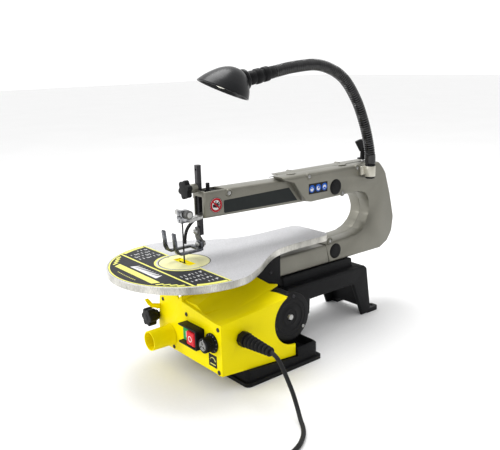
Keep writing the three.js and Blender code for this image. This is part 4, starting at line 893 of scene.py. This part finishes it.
def make_cover():
    y = -20
    for n, (x, z, r) in enumerate(((111, 101.2, 3.4), (110, 33, 3.6), (29, 101.4, 3.4), (-12.5, 33.6, 3.4),
                                   (-38.7, 108.2, 3.2))):
        seat = local_lathe([(r + 1.7, -0.4), (r + 1.7, 0.15), (r + 1.2, 0.5), (r + 0.5, 0.4), (r + 0.4, -0.4),
                            (r + 1.7, -0.4)], 36)
        piece(f"cover_seat_{n}", place(seat, (x, y, z), (0, -1, 0)), YELLOW, "frame")
        screw = place(cross_screw(r, 1.5), (x, y, z), (0, -1, 0), 12 + 37 * n)
        piece(f"cover_screw_{n}", screw, DARK, "frame")
    film("speed_label", [rect(84.5, 105, 37, 57)], PRINT_BLACK, "y", y, -1, 0)
    # An arc that grows thicker to the right.
    arc = [polar(94.7, 44.5, 8.0, a) for a in range(20, 161, 10)]
    inside = [polar(94.7, 44.5, 8.0 - 0.3 - 1.9 * (160 - a) / 140, a) for a in range(160, 19, -10)]
    film("speed_arc", [arc + inside], PRINT_YELLOW, "y", y, -1, 1)
    film("speed_bar", [rect(88, 101.4, 40.6, 42.2)], PRINT_YELLOW, "y", y, -1, 1)
    # Speed scale round the knob: plain tick marks.
    for n in range(11):
        w = 0.25 if n % 2 else 0.45
        tick = turned(KNOB_AT, 225 - 27 * n, rect(12.5, 13.9, -w, w))
        film(f"speed_tick_{n}", [tick], PRINT_WHITE, "y", -22.3, -1, 0)
    # Ribbed knob with a plain bright cap and a pointer line.
    ribs = []
    for k in range(36):
        a0 = 10 * k
        ribs += [(11.5, a0), (11.5, a0 + 4.6), (10.7, a0 + 5.8), (10.7, a0 + 8.8)]
    outer = [polar(*KNOB_AT, r, a) for r, a in ribs]
    body = loops_mesh([outer], "y", -37, -25.2, 0.5, 2)
    axis = (KNOB_AT[0], 0, KNOB_AT[1]), (0, -1, 0)
    skirt = lathe([(0.01, 22.7), (12, 22.7), (12, 24.6), (11.4, 25.4), (0.01, 25.4)], *axis, 48)
    shaft = lathe([(0.01, 13), (2, 13), (2, 23), (0.01, 23)], *axis, 16)
    piece("speed_knob_ribs", join_meshes("k", [body, skirt, shaft]), PLASTIC, "speed_control",
          ["speed_knob"])
    cap = lathe([(0.01, 36.2), (7.6, 36.2), (7.6, 37.8), (7.0, 38.4), (5, 38.4), (4.6, 37.9),
                 (2.4, 37.9), (2.0, 38.2), (0.01, 38.2)], *axis, 48)
    piece("speed_knob_face", cap, KNOB_GREY, "speed_control")
    line = loops_mesh([rect(94.5, 95.5, 83.2, 86)], "y", -37.2, -36.6)
    piece("speed_knob_line", line, PRINT_WHITE, "speed_control")
    for n in range(3):
        spoke = turned(KNOB_AT, 90 + 120 * n, ((1.6, -0.7), (6.8, -0.9), (6.8, 0.9), (1.6, 0.7)))
        piece(f"speed_knob_spoke_{n}", loops_mesh([spoke], "y", -38.5, -37.6), PRINT_BLACK,
              "speed_control")
    # Start bears a stroke, stop a ring: the usual plain marks.
    piece("start_mark", loops_mesh([rect(41.4, 43.2, 71, 81)], "y", -31.12, -30.9), PRINT_WHITE,
          "start_button")
    ring = lathe([(3.4, 37.3), (3.4, 37.64), (4.8, 37.64), (4.8, 37.3), (3.4, 37.3)], (62, 0, 76),
                 (0, -1, 0), 48)
    piece("stop_mark", ring, PRINT_WHITE, "stop_button")
    # Dust port: a moulded sleeve with two small steps by the cover and a thin open rim.
    sleeve = [(14.4, 0), (17.6, 0), (17.6, 1.4), (17.0, 2), (16.9, 4), (16.6, 4.6), (16.5, 10), (16.2, 39.3),
              (15.9, 40), (14.8, 40), (14.4, 39.6), (14.4, 0)]
    piece("dust_sleeve", lathe(sleeve, (-21, -20.3, 52), (0, -1, 0), 96), YELLOW, "frame",
          ["dust_port"])
    # Motor end cap: turned rings, three small screws and the hole for the shaft's end.
    m = (100, 125.5, 79.8)
    rings = [(6.1, 0), (37, 0), (39.6, 1.2), (40.2, 2.4), (40.2, 6.6), (39.6, 7.8), (38.2, 8.4), (31, 8.4),
             (30.6, 8), (29.6, 8), (29.2, 8.4), (24.4, 8.4), (23.6, 7.6), (15.6, 7.4), (15, 7.8), (12.6, 7.8),
             (12, 7.2), (6.1, 7.2), (6.1, 0)]
    piece("motor_cap_rings", lathe(rings, m, (1, 0, 0), 96), PLASTIC, "frame",
          ["motor_end_cap"])
    for n, a in enumerate((80, 200, 320)):
        screw = place(cross_screw(2.8, 1.5), (m[0] + 8.4, *polar(m[1], m[2], 34.4, a)), (1, 0, 0),
                      20 * n)
        material, slot = (STEEL, "steel") if n == 2 else (DARK, "dark_steel")
        piece(f"motor_screw_{n}", screw, material, "frame")


make_cover()


# ---------------------------------------------------------------- head, hold-down and blower
def make_head():
    def lobed(cu, cv, big, small, count, phase=0.0, n=144):
        """A knob's outline with soft lobes between a small and a big radius."""
        out = []
        for k in range(n):
            a = 2 * math.pi * k / n
            wave = 0.5 + 0.5 * math.cos(count * (a - phase))
            r = small + (big - small) * wave ** 0.7
            out.append((cu + r * math.cos(a), cv + r * math.sin(a)))
        return out

    # Knobs with six soft lobes: the hold-down's, on its clamping stud, and the table lock's.
    knob = loops_mesh([lobed(-10.5, 287, 15.5, 11.8, 6, 0.3)], "y", 11.2, 19.9, 1.8, 4)
    neck = lathe([(0.01, 11), (7.4, 11), (8.4, 11.2), (8.4, 12), (6.5, 19), (6.5, 22), (2.9, 22),
                  (2.9, 35.2), (0.01, 35.2)], (-10.5, 0, 287), (0, 1, 0), 40)
    piece("hold_knob_lobes", join_meshes("k", [knob, neck]), PLASTIC, "hold_lock",
          ["hold_knob"])
    lock = (-57.9, 76.2)
    star = loops_mesh([lobed(*lock, 15.5, 12.5, 6)], "y", -42.9, -28.6, 1.8, 4)
    stem = lathe([(0.01, 43.0), (6, 43.0), (6.6, 42.6), (6.6, 28), (10.6, 28.4), (8.2, 21.2),
                  (3, 21), (3, -33), (5.0, -33), (5.0, -37), (0.01, -37)],
                 (lock[0], 0, lock[1]), (0, -1, 0), 40)
    piece("lock_knob_lobes", join_meshes("k", [star, stem]), PLASTIC, "tilt_lock",
          ["lock_knob"])

    # Air hose with fine ribs, ending by the blade.
    points = spline([(-20.6, 88, 240), (-21.4, 66, 238), (-22, 45, 236.5), (-22, 35, 231.5),
                     (-18.6, 25, 226.6), (-12, 14.5, 220.6), (-7.6, 8.6, 211), (-6, 6.6, 202)], 0.45)

    def ribbed(s):
        return 2.8 - 0.5 * (0.5 + 0.5 * math.cos(2 * math.pi * s / 2.3))

    piece("air_hose", tube(points, ribbed, 20), RUBBER, "frame", ["blower_hose"])

    # Upper clamp's thumbscrew: fine knurling, a bright dished face and a bright tip.
    teeth = []
    for k in range(30):
        a0 = 12 * k
        teeth += [(7.2, a0), (7.2, a0 + 5), (6.7, a0 + 7), (6.7, a0 + 10)]
    ring = [polar(4.5, 252, r, a) for r, a in teeth]
    wheel = loops_mesh([ring], "x", 6.3, 14.5, 0.5, 2)
    piece("clamp_wheel", wheel, GREY_STEEL, "upper_screw", ["upper_clamp_screw"])
    stud = lathe([(0.01, -22), (3.4, -22), (4.4, -21), (4.4, -12.6), (3.8, -12), (2.4, -12),
                  (2.4, 7), (0.01, 7)], (0, 4.5, 252), (1, 0, 0), 32)
    face = lathe([(0.01, 14.2), (4.6, 14.2), (4.6, 15.2), (4.2, 15.6), (3.2, 15.6), (2.8, 15.1),
                  (0.01, 15.1)], (0, 4.5, 252), (1, 0, 0), 40)
    piece("clamp_stud", join_meshes("s", [stud, face]), STEEL, "upper_screw")


make_head()


# ---------------------------------------------------------------- light and floor
def make_studio():
    world = bpy.data.worlds.new("white_room")
    world.use_nodes = True
    # The room is brighter on the left and above than on the right.
    tree = world.node_tree
    coord = tree.nodes.new("ShaderNodeTexCoord")
    lean = tree.nodes.new("ShaderNodeVectorMath")
    lean.operation = "DOT_PRODUCT"
    lean.inputs[1].default_value = Vector((-0.9, 0.05, 0.42)).normalized()
    spread = tree.nodes.new("ShaderNodeMapRange")
    for socket, value in (("From Min", -0.9), ("From Max", 0.15), ("To Min", 0.32), ("To Max", 1.1)):
        spread.inputs[socket].default_value = value
    back = tree.nodes["Background"]
    back.inputs["Color"].default_value = (1, 1, 1, 1)
    tree.links.new(coord.outputs["Generated"], lean.inputs[0])
    tree.links.new(lean.outputs["Value"], spread.inputs["Value"])
    tree.links.new(spread.outputs["Result"], back.inputs["Strength"])
    bpy.context.scene.world = world
    bpy.context.scene.view_settings.view_transform = "Standard"

    white = surface("pale_floor", (0.92, 0.92, 0.92), 0.0, 0.7, (3, 0.01), (200, 0.01), (60, 0.02, 0.0002))
    me = mesh_from([(-12, -12, 0), (12, -12, 0), (12, 12, 0), (-12, 12, 0)], [(0, 1, 2, 3)])
    me.materials.append(white)
    floor = bpy.data.objects.new("floor", me)
    bpy.context.scene.collection.objects.link(floor)

    def lamp(name, where, aim, size, power):
        data = bpy.data.lights.new(name, "AREA")
        data.shape, data.size, data.energy = "DISK", size, power
        o = bpy.data.objects.new(name, data)
        o.location = where
        o.rotation_euler = (Vector(aim) - Vector(where)).to_track_quat("-Z", "Y").to_euler()
        bpy.context.scene.collection.objects.link(o)

    lamp("overhead", (-0.5, 0.1, 1.9), (0, 0, 0.2), 1.1, 20)
    lamp("front_left", (-0.9, -1.7, 0.9), (0, 0, 0.2), 1.1, 12)


make_studio()
